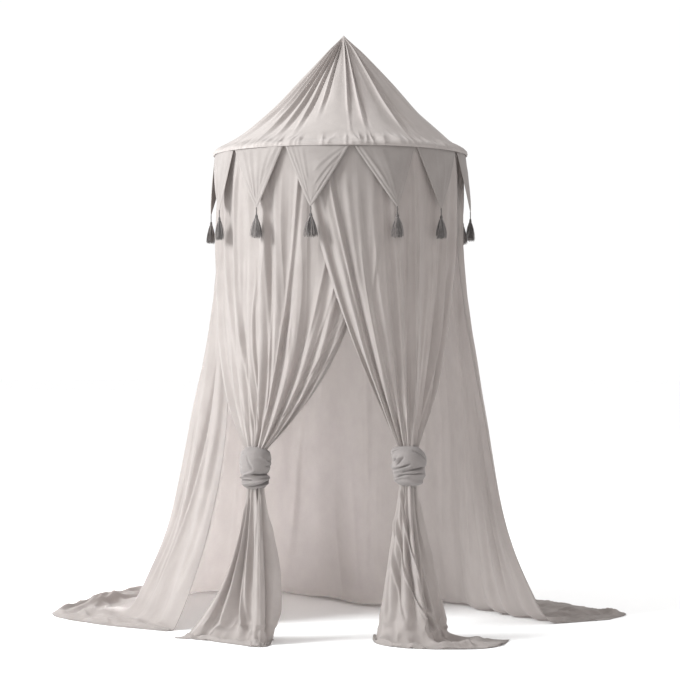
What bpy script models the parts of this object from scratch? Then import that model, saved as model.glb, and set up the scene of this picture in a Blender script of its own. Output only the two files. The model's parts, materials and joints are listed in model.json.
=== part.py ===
"""Mosquito net canopy with hoop, for a bed or a reading corner.

A pleated cone roof of cotton voile passes over a thin hoop. Below the hoop hang twelve pennants with
tassels, two front curtains, each tied in an overhand knot, and one wide sheet round the back and sides,
whose surplus length lies on the floor as trains.

Metres, +Z up. The origin is the tip of the cone, which the canopy hangs from. The door faces -Y and +X is
on the right of someone looking at it. The shapes are worked out over the floor, round the hoop's axis, and
the empty "floor_frame" lowers them to their place under the origin. Plan angles are in degrees from the
front, positive towards +X.
"""

import math
from collections import namedtuple

import bmesh
import bpy
import numpy as np

# ---------------------------------------------------------------- driving sizes

TOTAL_HEIGHT = 2.39  # floor to the tip of the cone
TIP_SHIFT = 0.015  # the tip stands this far to the right of the hoop's axis
HOOP_HEIGHT = 1.910
HOOP_RADIUS = 0.494
HOOP_TUBE = 0.004  # radius of the hoop's own wire
HOOP_POINTS = 40
WIDEST_ROOF_STEP = 10.5  # degrees between two columns of the roof

CLOTH = 0.0020  # thickness of a curtain or roof sheet
PENNANT_CLOTH = 0.0018
CURTAIN_TOP = HOOP_HEIGHT - HOOP_TUBE - 0.0035  # the curtains start just under the hoop
SWELL = 0.0055  # how far the curtains stand out past the seam they hang from
SWELL_DROP = 0.20
FLOOR_CLEARANCE = 0.0030  # middle of a sheet that lies flat on the floor

PENNANTS = 12
PENNANT_PITCH = 360 / PENNANTS
FIRST_JUNCTION = 5  # plan angle of one seam between two pennants
PENNANT_RADIUS = 0.5035
PENNANT_FLARE = 0.0325  # how much further out the point hangs
PENNANT_TOP = HOOP_HEIGHT - 0.002
PENNANT_DROP = 0.240
PENNANT_GAP = 0.0016  # half of the gap between two top corners
PENNANT_POINT = 0.0040  # half of the blunt point's width

TASSEL_GAP = 0.0012
TASSEL_LENGTH = 0.122
TASSEL_SPREAD = 0.0225  # how far the outer locks reach sideways
TASSEL_FLATNESS = 0.70  # a tassel is flatter towards the cloth behind it

# ---------------------------------------------------------------- tables of the drape

# Cone roof: how far below the tip, the radius there, and how much further the slope stands out on the right
# than on the left, where the pleats draw it in. The last rows pass over the hoop and turn down.
Ring = namedtuple("Ring", "drop radius sway")
ROOF_RINGS = [
    Ring(0.000, 0.0000, 0.0000),
    Ring(0.100, 0.0960, 0.0090),
    Ring(0.200, 0.1890, 0.0130),
    Ring(0.300, 0.2820, 0.0130),
    Ring(0.394, 0.3890, 0.0100),
    Ring(0.443, 0.4540, 0.0000),
    Ring(0.4685, 0.4945, 0.0000),
    Ring(0.4800, 0.5100, 0.0000),
    Ring(0.4920, 0.5115, 0.0000),
]

# Roof pleats, by plan angle: how high the crest stands, half its width in degrees, and the share of the
# slope after which it has faded out. They crowd on the left of the door, as the cloth is caught up there.
Pleat = namedtuple("Pleat", "at height spread reach")
ROOF_PLEATS = [
    Pleat(-158, 0.009, 8.0, 0.95),
    Pleat(-131, 0.008, 7.0, 0.85),
    Pleat(-108, 0.010, 6.5, 0.95),
    Pleat(-88, 0.009, 5.0, 0.95),
    Pleat(-74, 0.009, 3.8, 0.95),
    Pleat(-61, 0.010, 3.6, 1.00),
    Pleat(-51, 0.008, 3.2, 0.85),
    Pleat(-42, 0.012, 3.0, 1.00),
    Pleat(-33, 0.011, 2.8, 1.00),
    Pleat(-24.5, 0.010, 2.8, 0.95),
    Pleat(-15, 0.009, 3.2, 0.80),
    Pleat(4.5, 0.008, 3.0, 0.82),
    Pleat(13, 0.011, 3.0, 0.92),
    Pleat(35, 0.012, 3.4, 0.95),
    Pleat(42.5, 0.006, 3.0, 0.95),
    Pleat(66, 0.006, 6.0, 0.80),
    Pleat(92, 0.007, 7.0, 0.80),
    Pleat(120, 0.008, 8.0, 0.90),
    Pleat(152, 0.007, 8.0, 0.85),
]

# Pennants, from the first junction round to the right: how far its point hangs off its own middle, in
# degrees, and how much its face bellies out.
Pennant = namedtuple("Pennant", "lean belly")
PENNANT_HANG = [
    Pennant(3.9, 0.006),
    Pennant(-3.2, 0.003),
    Pennant(-4.0, 0.005),
    Pennant(-2.0, 0.004),
    Pennant(1.5, 0.006),
    Pennant(0.5, 0.003),
    Pennant(-1.5, 0.005),
    Pennant(2.0, 0.004),
    Pennant(1.0, 0.005),
    Pennant(8.0, 0.003),
    Pennant(3.4, 0.004),
    Pennant(-1.9, 0.002),
]

# Back and side sheet, from its front edge on the right round the back to its front edge on the left: where
# the section hangs from the hoop, where it passes the height of the knots, where it meets the floor and
# where its hem lies.
Section = namedtuple("Section", "hoop mid_x mid_y foot_x foot_y hem_x hem_y")
BACK_TOP_RADIUS = 0.490
BACK_SECTIONS = [
    Section(72, 0.582, -0.085, 0.850, -0.020, 1.110, 0.090),
    Section(84, 0.574, 0.020, 0.765, 0.070, 1.200, 0.225),
    Section(96, 0.562, 0.110, 0.680, 0.150, 1.110, 0.345),
    Section(108, 0.538, 0.205, 0.620, 0.230, 1.010, 0.465),
    Section(122, 0.486, 0.320, 0.555, 0.340, 0.860, 0.625),
    Section(137, 0.395, 0.425, 0.450, 0.480, 0.660, 0.780),
    Section(153, 0.270, 0.465, 0.315, 0.430, 0.460, 0.790),
    Section(170, 0.100, 0.490, 0.155, 0.375, 0.200, 0.740),
    Section(187, -0.070, 0.520, -0.050, 0.570, -0.050, 0.880),
    Section(204, -0.240, 0.525, -0.240, 0.770, -0.300, 1.050),
    Section(221, -0.400, 0.470, -0.500, 0.790, -0.620, 1.110),
    Section(236, -0.505, 0.370, -0.700, 0.670, -0.910, 0.960),
    Section(248, -0.575, 0.220, -0.840, 0.450, -1.100, 0.630),
    Section(259, -0.602, 0.080, -0.870, 0.190, -1.210, 0.230),
    Section(268, -0.555, -0.030, -0.775, 0.010, -0.990, -0.020),
    Section(277, -0.463, -0.122, -0.662, -0.172, -0.690, -0.190),
]

# The same sheet by height: how far a section has come from under the hoop to its middle place, and how far
# from there to its foot.
Station = namedtuple("Station", "height to_middle to_foot")
BACK_STATIONS = [
    Station(CURTAIN_TOP, 0.00, 0.00),
    Station(1.72, 0.00, 0.00),
    Station(1.54, 0.02, 0.00),
    Station(1.30, 0.27, 0.00),
    Station(0.86, 1.00, 0.00),
    Station(0.34, 1.00, 0.44),
    Station(0.00, 1.00, 1.00),
]

# Folds across a sheet, first to last: each one's share of the width and the height of its crest.
Fold = namedtuple("Fold", "width height")
BACK_FOLDS = [
    Fold(0.9, 0.8),
    Fold(1.1, 1.0),
    Fold(0.8, 0.6),
    Fold(1.3, 0.9),
    Fold(1.1, 0.7),
    Fold(1.5, 1.0),
    Fold(1.2, 0.6),
    Fold(1.4, 0.8),
    Fold(1.2, 1.0),
    Fold(1.5, 0.6),
    Fold(1.1, 0.8),
    Fold(1.2, 1.0),
    Fold(0.9, 0.9),
    Fold(0.8, 1.0),
]
BACK_FOLD_DEPTH = 0.019
TRAIN_FOLD_DEPTH = 0.017
TRAIN_RIPPLE = 0.006
BACK_BEND = 0.10  # height over which the cloth bends to lie on the floor
SEAM_FOLD = 0.0012  # depth of the folds at the seam under the hoop

LEFT_FOLDS = [
    Fold(1.15, 0.9),
    Fold(1.15, 0.5),
    Fold(1.15, 0.9),
    Fold(0.95, 0.5),
    Fold(0.85, 1.0),
    Fold(1.00, 0.4),
    Fold(1.10, 1.0),
    Fold(0.95, 0.6),
    Fold(0.80, 0.8),
    Fold(0.90, 0.7),
]
RIGHT_FOLDS = [
    Fold(0.85, 0.8),
    Fold(0.90, 0.9),
    Fold(1.15, 0.4),
    Fold(1.50, 0.8),
    Fold(1.20, 0.9),
    Fold(1.20, 0.5),
    Fold(1.30, 0.7),
    Fold(1.30, 1.0),
    Fold(0.60, 0.6),
]
LEFT_TAIL_FOLDS = [
    Fold(0.9, 0.8),
    Fold(0.8, 0.9),
    Fold(0.7, 0.6),
    Fold(1.9, 0.9),
    Fold(1.3, 0.8),
]
RIGHT_TAIL_FOLDS = [
    Fold(0.7, 0.7),
    Fold(0.8, 0.9),
    Fold(0.9, 0.7),
    Fold(1.0, 1.0),
    Fold(0.8, 0.7),
    Fold(1.2, 0.9),
]

# A tail below its knot, from its left edge to its right one: the share of the width, where that strip
# meets the floor, where its hem lies, how late it leaves the plumb line (1 is a straight slant), and how
# far it swings out to the right on its way down.
Strip = namedtuple("Strip", "share foot_x foot_y hem_x hem_y late swing")
LEFT_TAIL = [
    Strip(0.00, -0.605, -0.335, -0.645, -0.340, 1.9, 0.000),
    Strip(0.22, -0.490, -0.375, -0.520, -0.395, 1.8, 0.000),
    Strip(0.40, -0.372, -0.450, -0.382, -0.490, 1.3, 0.000),
    Strip(0.58, -0.318, -0.495, -0.322, -0.535, 1.1, 0.000),
    Strip(0.78, -0.268, -0.475, -0.272, -0.512, 0.9, 0.012),
    Strip(1.00, -0.262, -0.360, -0.256, -0.368, 0.7, 0.050),
]
RIGHT_TAIL = [
    Strip(0.00, 0.150, -0.315, 0.130, -0.270, 1.1, 0.000),
    Strip(0.14, 0.142, -0.415, 0.132, -0.440, 1.2, 0.000),
    Strip(0.29, 0.205, -0.495, 0.215, -0.540, 1.6, 0.000),
    Strip(0.45, 0.300, -0.520, 0.340, -0.578, 2.1, 0.000),
    Strip(0.61, 0.362, -0.500, 0.455, -0.582, 2.2, 0.004),
    Strip(0.76, 0.398, -0.455, 0.550, -0.560, 2.0, 0.010),
    Strip(0.90, 0.415, -0.395, 0.620, -0.490, 1.8, 0.018),
    Strip(1.00, 0.420, -0.330, 0.655, -0.385, 1.7, 0.022),
]

# Girth of a knot from its underside to its top: share of the height, share of the half width.
Girth = namedtuple("Girth", "height width")
LEFT_GIRTHS = [
    Girth(0.00, 0.55),
    Girth(0.10, 0.80),
    Girth(0.22, 0.86),
    Girth(0.33, 0.80),
    Girth(0.46, 0.94),
    Girth(0.66, 1.00),
    Girth(0.86, 0.90),
    Girth(1.00, 0.60),
]
RIGHT_GIRTHS = [
    Girth(0.00, 0.60),
    Girth(0.10, 0.86),
    Girth(0.24, 0.82),
    Girth(0.36, 0.95),
    Girth(0.52, 0.90),
    Girth(0.68, 1.00),
    Girth(0.86, 0.92),
    Girth(1.00, 0.62),
]

# A front curtain: the plan angles of its outer and leading edges at the hoop, its knot, how late each edge
# leaves the plumb line towards the knot, the width of its cloth, and how its folds stand where the two
# curtains cross: 1 outwards, -1 inwards.
Curtain = namedtuple(
    "Curtain",
    "outer leading knot_x knot_y knot_height knot_width knot_tall knot_slant outer_late leading_late "
    "cloth_width crossing top_radius folds tail tail_folds girths",
)
LEFT_CURTAIN = Curtain(
    outer=-82, leading=13, knot_x=-0.323, knot_y=-0.455, knot_height=0.672, knot_width=0.120,
    knot_tall=0.175, knot_slant=0.10, outer_late=4.5, leading_late=3.15, cloth_width=1.15, crossing=-1,
    top_radius=0.4925, folds=LEFT_FOLDS, tail=LEFT_TAIL, tail_folds=LEFT_TAIL_FOLDS,
    girths=LEFT_GIRTHS,
)
RIGHT_CURTAIN = Curtain(
    outer=68, leading=-17, knot_x=0.260, knot_y=-0.470, knot_height=0.682, knot_width=0.134,
    knot_tall=0.164, knot_slant=-0.28, outer_late=2.4, leading_late=1.48, cloth_width=1.02, crossing=1,
    top_radius=0.4975, folds=RIGHT_FOLDS, tail=RIGHT_TAIL, tail_folds=RIGHT_TAIL_FOLDS,
    girths=RIGHT_GIRTHS,
)

CROSSING_PART = 0.015  # how far each front curtain gives way to the other below the hoop
CROSSING_BLEND = 14  # degrees over which a curtain's folds turn to one side before the two overlap
NECK_RADIUS = 0.030  # the gathered cloth where it enters a knot
NECK_FOLD = 0.0050
NECK_DEPTH = 0.030  # how far the cloth runs on inside the knot
NECK_OPENING = 100  # the gathered ring of cloth stays open behind, beyond this angle on either side
FOLD_SHARE = 0.52  # share of the surplus width that the modelled folds take up
TAIL_FOLD_SHARE = 0.38

LOCKS_OUTER, LOCKS_INNER = 7, 3

# ---------------------------------------------------------------- ways of working out a shape


def on_circle(radius, degrees):
    """Plan point or points at a radius and plan angle."""
    angle = np.radians(degrees)
    return np.stack([radius * np.sin(angle), -radius * np.cos(angle)], axis=-1)


def ramp(value, start, end):
    """Soft step from 0 at start to 1 at end."""
    t = np.clip((np.asarray(value, float) - start) / (end - start), 0, 1)
    return t * t * (3 - 2 * t)


def through(knots, values, at):
    """Smooth curve through table values, read at the places in at."""
    knots, values, at = (np.asarray(item, float) for item in (knots, values, at))
    slopes = np.gradient(values, knots, axis=0)
    left = np.clip(np.searchsorted(knots, at) - 1, 0, len(knots) - 2)
    span = knots[left + 1] - knots[left]
    t = (at - knots[left]) / span
    if values.ndim > 1:
        t, span = t[..., None], span[..., None]
    return (
        (2 * t**3 - 3 * t**2 + 1) * values[left]
        + (t**3 - 2 * t**2 + t) * span * slopes[left]
        + (3 * t**2 - 2 * t**3) * values[left + 1]
        + (t**3 - t**2) * span * slopes[left + 1]
    )


def fold_edges(folds):
    """Shares of the width at which each fold begins, and the end of the last."""
    widths = np.array([fold.width for fold in folds])
    return np.concatenate([[0], np.cumsum(widths)]) / widths.sum()


def fold_columns(folds, per_fold):
    """Shares of the width of a sheet's columns, the same number for each fold."""
    edges = fold_edges(folds)
    steps = np.arange(per_fold) / per_fold
    inner = [left + steps * (right - left) for left, right in zip(edges[:-1], edges[1:])]
    return np.append(np.concatenate(inner), 1.0)


def fold_wave(folds, share):
    """Height of the folds at a share of the width: -1 in a valley, up to 1 on a crest."""
    edges = fold_edges(folds)
    heights = np.array([fold.height for fold in folds])
    which = np.clip(np.searchsorted(edges, share, side="right") - 1, 0, len(folds) - 1)
    t = (share - edges[which]) / (edges[which + 1] - edges[which])
    return heights[which] * (1 - np.cos(2 * np.pi * t)) - 1


def plan_normals(plan):
    """Level unit normals along each row of plan points, to the right of the way the row runs."""
    along = np.gradient(plan, axis=1)
    along /= np.maximum(np.linalg.norm(along, axis=2, keepdims=True), 1e-9)
    return np.stack([along[..., 1], -along[..., 0]], axis=-1)


# ---------------------------------------------------------------- ways of making an object


def principled(name, colour, roughness, metallic=0.0):
    material = bpy.data.materials.new(name)
    material.use_nodes = True
    shader = material.node_tree.nodes["Principled BSDF"]
    shader.inputs["Base Color"].default_value = (*colour, 1)
    shader.inputs["Roughness"].default_value = roughness
    shader.inputs["Metallic"].default_value = metallic
    return material


def add_object(name, mesh, collection, material=None):
    """Object of a mesh, shaded smooth with sharp edges kept, under the floor frame."""
    item = bpy.data.objects.new(name, mesh)
    collection.objects.link(item)
    item.parent = FLOOR_FRAME
    if material:
        mesh.materials.append(material)
    mesh.shade_smooth()
    mesh.set_sharp_from_angle(angle=math.radians(50))
    return item


def grid_mesh(name, points, closed_round=False):
    """Mesh of quads through a grid of points, in rows from the top down."""
    rows, columns = points.shape[:2]
    spans = columns if closed_round else columns - 1
    faces = []
    for row in range(rows - 1):
        for column in range(spans):
            here, after = row * columns + column, row * columns + (column + 1) % columns
            faces.append((here, here + columns, after + columns, after))
    mesh = bpy.data.meshes.new(name)
    mesh.from_pydata(points.reshape(-1, 3).tolist(), [], faces)
    mesh.validate()
    return mesh


def give_thickness(item, thickness):
    solid = item.modifiers.new("Cloth thickness", "SOLIDIFY")
    solid.thickness = thickness
    solid.offset = 0
    solid.use_quality_normals = True


def fuse(item, other):
    union = item.modifiers.new("Fuse " + other.name, "BOOLEAN")
    union.operation = "UNION"
    union.solver = "EXACT"
    union.object = other
    other.hide_render = True
    other.display_type = "WIRE"


# ---------------------------------------------------------------- hoop and roof


def make_hoop():
    curve = bpy.data.curves.new("hoop", "CURVE")
    curve.dimensions = "3D"
    spline = curve.splines.new("POLY")
    spline.points.add(HOOP_POINTS - 1)
    for number, point in enumerate(spline.points):
        x, y = on_circle(HOOP_RADIUS, 360 * number / HOOP_POINTS)
        point.co = (x, y, HOOP_HEIGHT, 1)
    spline.use_cyclic_u = True
    curve.bevel_depth = HOOP_TUBE
    curve.bevel_resolution = 1
    hoop = bpy.data.objects.new("hoop", curve)
    CANOPY.objects.link(hoop)
    hoop.parent = FLOOR_FRAME
    curve.materials.append(principled("hoop steel", (0.78, 0.77, 0.75), 0.35, 0.9))


def pleat_rise(degrees, slope_share):
    """How far the roof's pleats stand out at a plan angle and share of the slope."""
    rise = 0
    for pleat in ROOF_PLEATS:
        off = (degrees - pleat.at + 180) % 360 - 180
        crest = np.exp(-((off / pleat.spread) ** 2)) - 0.5 * np.exp(-((off / (2.2 * pleat.spread)) ** 2))
        faded = ramp(slope_share, 0.01, 0.22) * (1 - ramp(slope_share, pleat.reach - 0.3, pleat.reach))
        rise = rise + pleat.height * crest * faded
    return rise


def roof_columns():
    """Plan angles of the roof's columns: three on each pleat, and more where two pleats stand far apart."""
    crests = sorted(
        pleat.at + side * pleat.spread for pleat in ROOF_PLEATS for side in (-0.8, 0, 0.8)
    )
    columns = []
    for here, after in zip(crests, crests[1:] + [crests[0] + 360]):
        parts = math.ceil((after - here) / WIDEST_ROOF_STEP)
        columns += [here + (after - here) * part / parts for part in range(parts)]
    return np.array(columns)


def make_roof():
    degrees = roof_columns()
    rows = []
    for ring in ROOF_RINGS:
        slope_share = ring.drop / ROOF_RINGS[-1].drop
        out = pleat_rise(degrees, slope_share)
        side = np.sin(np.radians(degrees))
        plan = on_circle(ring.radius + ring.sway * side * np.abs(side) + 0.7 * out, degrees)
        plan[:, 0] += TIP_SHIFT * (1 - min(1, ring.drop / ROOF_RINGS[-3].drop))
        height = TOTAL_HEIGHT - ring.drop + 0.7 * out
        rows.append(np.column_stack([plan, height * np.ones(len(degrees))]))
    mesh = grid_mesh("roof", np.array(rows), closed_round=True)
    tip = bmesh.new()
    tip.from_mesh(mesh)
    bmesh.ops.remove_doubles(tip, verts=tip.verts, dist=1e-5)
    tip.to_mesh(mesh)
    tip.free()
    roof = add_object("roof", mesh, CANOPY, principled("roof voile", (0.58, 0.53, 0.52), 0.9))
    give_thickness(roof, CLOTH)


# ---------------------------------------------------------------- back and side sheet


def back_points(shares, hanging_rows, train_rows):
    """Grid of points down the back sheet, first hanging and then along the floor."""
    place = np.linspace(0, 1, len(BACK_SECTIONS))
    hoop_angle = through(place, [s.hoop for s in BACK_SECTIONS], shares)
    middle = through(place, [(s.mid_x, s.mid_y) for s in BACK_SECTIONS], shares)
    foot = through(place, [(s.foot_x, s.foot_y) for s in BACK_SECTIONS], shares)
    hem = through(place, [(s.hem_x, s.hem_y) for s in BACK_SECTIONS], shares)
    paths = []
    for station in BACK_STATIONS:
        swell = SWELL * ramp(CURTAIN_TOP - station.height, 0, SWELL_DROP)
        above = on_circle(BACK_TOP_RADIUS + swell, hoop_angle)
        paths.append(above + station.to_middle * (middle - above) + station.to_foot * (foot - middle))

    heights = CURTAIN_TOP * (1 - np.linspace(0, 1, hanging_rows) ** 1.15)
    going_down = [-station.height for station in BACK_STATIONS]
    hanging = through(going_down, np.reshape(paths, (len(paths), -1)), -heights)
    hanging = hanging.reshape(hanging_rows, -1, 2)

    wave = fold_wave(BACK_FOLDS, shares)[None, :]
    fallen = (CURTAIN_TOP - heights)[:, None]
    landing = ramp(heights, 0, BACK_BEND)[:, None]
    depth = SEAM_FOLD + BACK_FOLD_DEPTH * ramp(fallen, 0, 0.55) ** 0.7
    # Beside the left curtain the sheet keeps its folds to the inner side.
    tucked = ramp(hoop_angle, 262, 272)[None, :] * (1 - ramp(fallen, 0.95, 1.3))
    out = 0.5 * depth * (wave - tucked) * (1 - 0.4 * tucked) * (0.35 + 0.65 * landing)
    hanging = hanging + plan_normals(hanging) * out[..., None]
    ridge = 0.5 * TRAIN_FOLD_DEPTH * (wave + 1)
    lift = (FLOOR_CLEARANCE + ridge) * (1 - landing) + heights[:, None]
    upper = np.dstack([hanging, lift])

    along = np.linspace(0, 1, train_rows + 1)[1:, None]
    lying = hanging[-1][None] * (1 - along[..., None]) + hem[None] * along[..., None]
    ripple = TRAIN_RIPPLE * np.sin(9 * along) * np.sin(40 * shares + 5 * along)
    rise = FLOOR_CLEARANCE + np.maximum(ridge * (1 - 0.75 * along) + ripple, 0)
    return np.concatenate([upper, np.dstack([lying, rise])])


def make_back():
    shares = fold_columns(BACK_FOLDS, 4)
    points = back_points(shares, hanging_rows=11, train_rows=4)
    mesh = grid_mesh("curtain_back", points)
    sheet = add_object("curtain_back", mesh, CANOPY, principled("back voile", (0.52, 0.47, 0.46), 0.9))
    give_thickness(sheet, CLOTH)


# ---------------------------------------------------------------- front curtains with their knots


def curtain_points(curtain, shares, row_count):
    """Grid of points of a front curtain from the hoop down into its knot."""
    shares = np.asarray(shares)[None, :]
    down = (1 - (1 - np.linspace(0, 1, row_count)) ** 1.35)[:, None]
    side = math.copysign(1, curtain.outer)
    angles = curtain.outer + (curtain.leading - curtain.outer) * shares
    own_end = LEFT_CURTAIN.leading if side > 0 else -RIGHT_CURTAIN.leading
    crossing = ramp(-side * angles, -own_end - CROSSING_BLEND, -own_end)

    neck_height = curtain.knot_height + curtain.knot_tall / 2 - NECK_DEPTH
    heights = CURTAIN_TOP + (neck_height - CURTAIN_TOP) * down
    fallen = CURTAIN_TOP - heights
    late = curtain.outer_late + (curtain.leading_late - curtain.outer_late) * shares
    moved = down**late

    top = on_circle(curtain.top_radius + SWELL * ramp(fallen, 0, SWELL_DROP), angles)
    neck_angle = side * NECK_OPENING * (1 - 2 * shares)
    neck = on_circle(NECK_RADIUS, neck_angle) + (curtain.knot_x, curtain.knot_y)
    plan = top + (neck - top) * moved[..., None]
    layer = curtain.crossing * crossing * ramp(fallen, 0.03, 0.40) * (1 - ramp(down, 0.7, 0.95))
    plan = plan + np.stack([0 * layer, -CROSSING_PART * layer], axis=-1)

    normals = plan_normals(plan) * -side
    step = np.linalg.norm(np.gradient(plan, axis=1), axis=2) / np.gradient(shares, axis=1)
    surplus = np.sqrt(np.maximum(curtain.cloth_width**2 - step**2, 0.05))
    depth = FOLD_SHARE * surplus / (4 * len(curtain.folds))
    depth = depth * (0.10 + 0.90 * ramp(fallen, 0.0, 0.45) ** 0.8)
    calm = 1 - 0.45 * crossing * (1 - ramp(fallen, 0.35, 0.9))
    narrow = ramp(down, 0.80, 1.0)
    depth = depth * calm * (1 - narrow) + NECK_FOLD * narrow
    bias = curtain.crossing * crossing * (1 - ramp(down, 0.6, 0.9))
    bias = bias + (1 - ramp(shares, 0, 0.12)) * (1 - narrow)
    out = depth * (fold_wave(curtain.folds, shares) + bias)
    plan = plan + normals * out[..., None]
    return np.dstack([plan, heights + 0 * shares])


def tail_points(curtain, shares, hanging_rows, floor_rows):
    """Grid of points of a curtain's tail from inside its knot down to the floor and its hem."""
    shares = np.asarray(shares)
    place = [strip.share for strip in curtain.tail]
    foot = through(place, [(s.foot_x, s.foot_y) for s in curtain.tail], shares)
    hem = through(place, [(s.hem_x, s.hem_y) for s in curtain.tail], shares)
    late = through(place, [s.late for s in curtain.tail], shares)[None, :]
    swing = through(place, [s.swing for s in curtain.tail], shares)[None, :]

    start = curtain.knot_height - curtain.knot_tall / 2 + NECK_DEPTH
    ring = on_circle(NECK_RADIUS, NECK_OPENING * (2 * shares - 1)) + (curtain.knot_x, curtain.knot_y)
    down = np.linspace(0, 1, hanging_rows)[:, None]
    heights = start * (1 - down)
    plan = ring[None] + (foot - ring)[None] * (down**late)[..., None]
    plan[..., 0] += swing * 6.75 * down**2 * (1 - down)

    wave = fold_wave(curtain.tail_folds, shares)[None, :]
    step = np.linalg.norm(np.gradient(plan, axis=1), axis=2) / np.gradient(shares)[None, :]
    surplus = np.sqrt(np.maximum(curtain.cloth_width**2 - step**2, 0.05))
    full = TAIL_FOLD_SHARE * surplus / (4 * len(curtain.tail_folds))
    depth = NECK_FOLD + (full - NECK_FOLD) * ramp(down, 0.05, 0.6)
    landing = ramp(heights, 0.0, 0.09)
    out = depth * wave * (0.3 + 0.7 * landing)
    hanging = plan + plan_normals(plan) * out[..., None]
    lift = FLOOR_CLEARANCE + 0.012 * (1 + wave) * (1 - landing) + heights
    upper = np.dstack([hanging, lift])

    along = np.linspace(0, 1, floor_rows + 1)[1:, None]
    lying = hanging[-1][None] * (1 - along[..., None]) + hem[None] * along[..., None]
    rise = FLOOR_CLEARANCE + 0.012 * (1 + wave) * (1 - 0.8 * along)
    return np.concatenate([upper, np.dstack([lying, rise])])


def knot_mesh(name, curtain, around=14, rings=9):
    """Closed lump of a tied knot, with its girths slanting across it."""
    shares = np.linspace(0, 1, rings)
    widths = through([g.height for g in curtain.girths], [g.width for g in curtain.girths], shares)
    degrees = np.arange(around) * 360 / around
    rows = []
    for share, width in zip(shares[::-1], widths[::-1]):
        plan = on_circle(width * curtain.knot_width / 2, degrees) * (1, 0.86)
        middle = math.sin(math.pi * share)
        tilt = curtain.knot_slant * plan[:, 0] * middle
        lumps = 1 + 0.04 * np.sin(np.radians(2 * degrees) + 7 * share) * middle
        height = curtain.knot_height + (share - 0.5) * curtain.knot_tall + tilt
        centre = (curtain.knot_x, curtain.knot_y)
        rows.append(np.column_stack([plan * lumps[:, None] + centre, height]))
    mesh = grid_mesh(name, np.array(rows), closed_round=True)
    lump = bmesh.new()
    lump.from_mesh(mesh)
    bmesh.ops.holes_fill(lump, edges=lump.edges, sides=0)
    bmesh.ops.triangulate(lump, faces=[face for face in lump.faces if len(face.verts) > 4])
    bmesh.ops.recalc_face_normals(lump, faces=lump.faces)
    lump.to_mesh(mesh)
    lump.free()
    return mesh


def make_front(name, curtain):
    """A front curtain: the gathered upper cloth, its knot and its tail, fused in one piece."""
    shares = fold_columns(curtain.folds, 4)
    points = curtain_points(curtain, shares, row_count=12)
    if curtain.outer > 0:
        points = points[:, ::-1]
    material = principled(name + " voile", (0.55, 0.50, 0.49), 0.9)
    sheet = add_object(name, grid_mesh(name, points), CANOPY, material)
    give_thickness(sheet, CLOTH)

    knot = add_object(name + "_knot", knot_mesh(name + "_knot", curtain), FORMERS)
    tail_grid = tail_points(curtain, fold_columns(curtain.tail_folds, 4), hanging_rows=8, floor_rows=2)
    tail = add_object(name + "_tail", grid_mesh(name + "_tail", tail_grid), FORMERS)
    give_thickness(tail, CLOTH)
    fuse(sheet, knot)
    fuse(sheet, tail)


# ---------------------------------------------------------------- pennants and tassels


def pennant_middle(number):
    """Plan angle of the middle of a pennant's top edge."""
    return FIRST_JUNCTION + (number + 0.5) * PENNANT_PITCH


def pennant_points(number, row_count, column_count):
    """Grid of points of one pennant, from its top edge down to its blunt point."""
    hang = PENNANT_HANG[number]
    down = np.linspace(0, 1, row_count)[:, None]
    across = np.linspace(-1, 1, column_count)[None, :]
    radius = PENNANT_RADIUS + PENNANT_FLARE * down + hang.belly * 4 * down * (1 - down) * (1 - across**2)
    half_top = math.radians(PENNANT_PITCH / 2) * PENNANT_RADIUS - PENNANT_GAP
    half_width = half_top * (1 - down) ** 0.94 + PENNANT_POINT * down
    degrees = pennant_middle(number) + hang.lean * down + np.degrees(across * half_width / radius)
    heights = PENNANT_TOP - PENNANT_DROP * down + 0 * across
    return np.dstack([on_circle(radius, degrees), heights])


def make_pennant(number, material):
    name = f"pennant_{number + 1:02d}"
    mesh = grid_mesh(name, pennant_points(number, row_count=6, column_count=5))
    give_thickness(add_object(name, mesh, CANOPY, material), PENNANT_CLOTH)


def tassel_head():
    """Turned head of a tassel: its hanging cord, knot and crown."""
    outline = [
        (0.0000, 0.000),
        (0.0042, -0.004),
        (0.0028, -0.016),
        (0.0042, -0.030),
        (0.0100, -0.040),
        (0.0125, -0.050),
        (0.0000, -0.056),
    ]
    mesh = bpy.data.meshes.new("tassel_head")
    edges = [(number, number + 1) for number in range(len(outline) - 1)]
    mesh.from_pydata([(radius, 0, height) for radius, height in outline], edges, [])
    head = add_object("tassel_head", mesh, FORMERS)
    turn = head.modifiers.new("Turn", "SCREW")
    turn.steps = turn.render_steps = 7
    turn.use_merge_vertices = True
    turn.merge_threshold = 0.0001
    return head


def tassel_locks():
    """The locks of yarn below the head, each a slim three-sided spike that widens downwards."""
    locks = bmesh.new()
    for count, reach, root in ((LOCKS_OUTER, 1.0, 0.0078), (LOCKS_INNER, 0.42, 0.0032)):
        for number in range(count):
            angle = 2 * math.pi * (number + 0.3 * reach) / count
            length = TASSEL_LENGTH - 0.007 * (number * 5 % 4) / 3 - 0.004 * (1 - reach)
            away = np.array([math.cos(angle), math.sin(angle), 0])
            aside = np.array([-away[1], away[0], 0])
            rings = []
            for height, out, half in (
                (-0.047, root, 0.0014),
                (-0.080, 0.6 * TASSEL_SPREAD * reach + 0.002, 0.0032),
                (-length, TASSEL_SPREAD * reach, 0.0046),
            ):
                centre = away * out + (0, 0, height)
                corners = (centre + away * half, centre + aside * half, centre - aside * half)
                rings.append([locks.verts.new(corner) for corner in corners])
            for upper, lower in zip(rings, rings[1:]):
                for corner in range(3):
                    after = (corner + 1) % 3
                    locks.faces.new((upper[corner], lower[corner], lower[after], upper[after]))
            locks.faces.new(rings[0])
            locks.faces.new(rings[-1][::-1])
    bmesh.ops.recalc_face_normals(locks, faces=locks.faces)
    mesh = bpy.data.meshes.new("tassel_locks")
    locks.to_mesh(mesh)
    locks.free()
    return add_object("tassel_locks", mesh, FORMERS)


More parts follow.
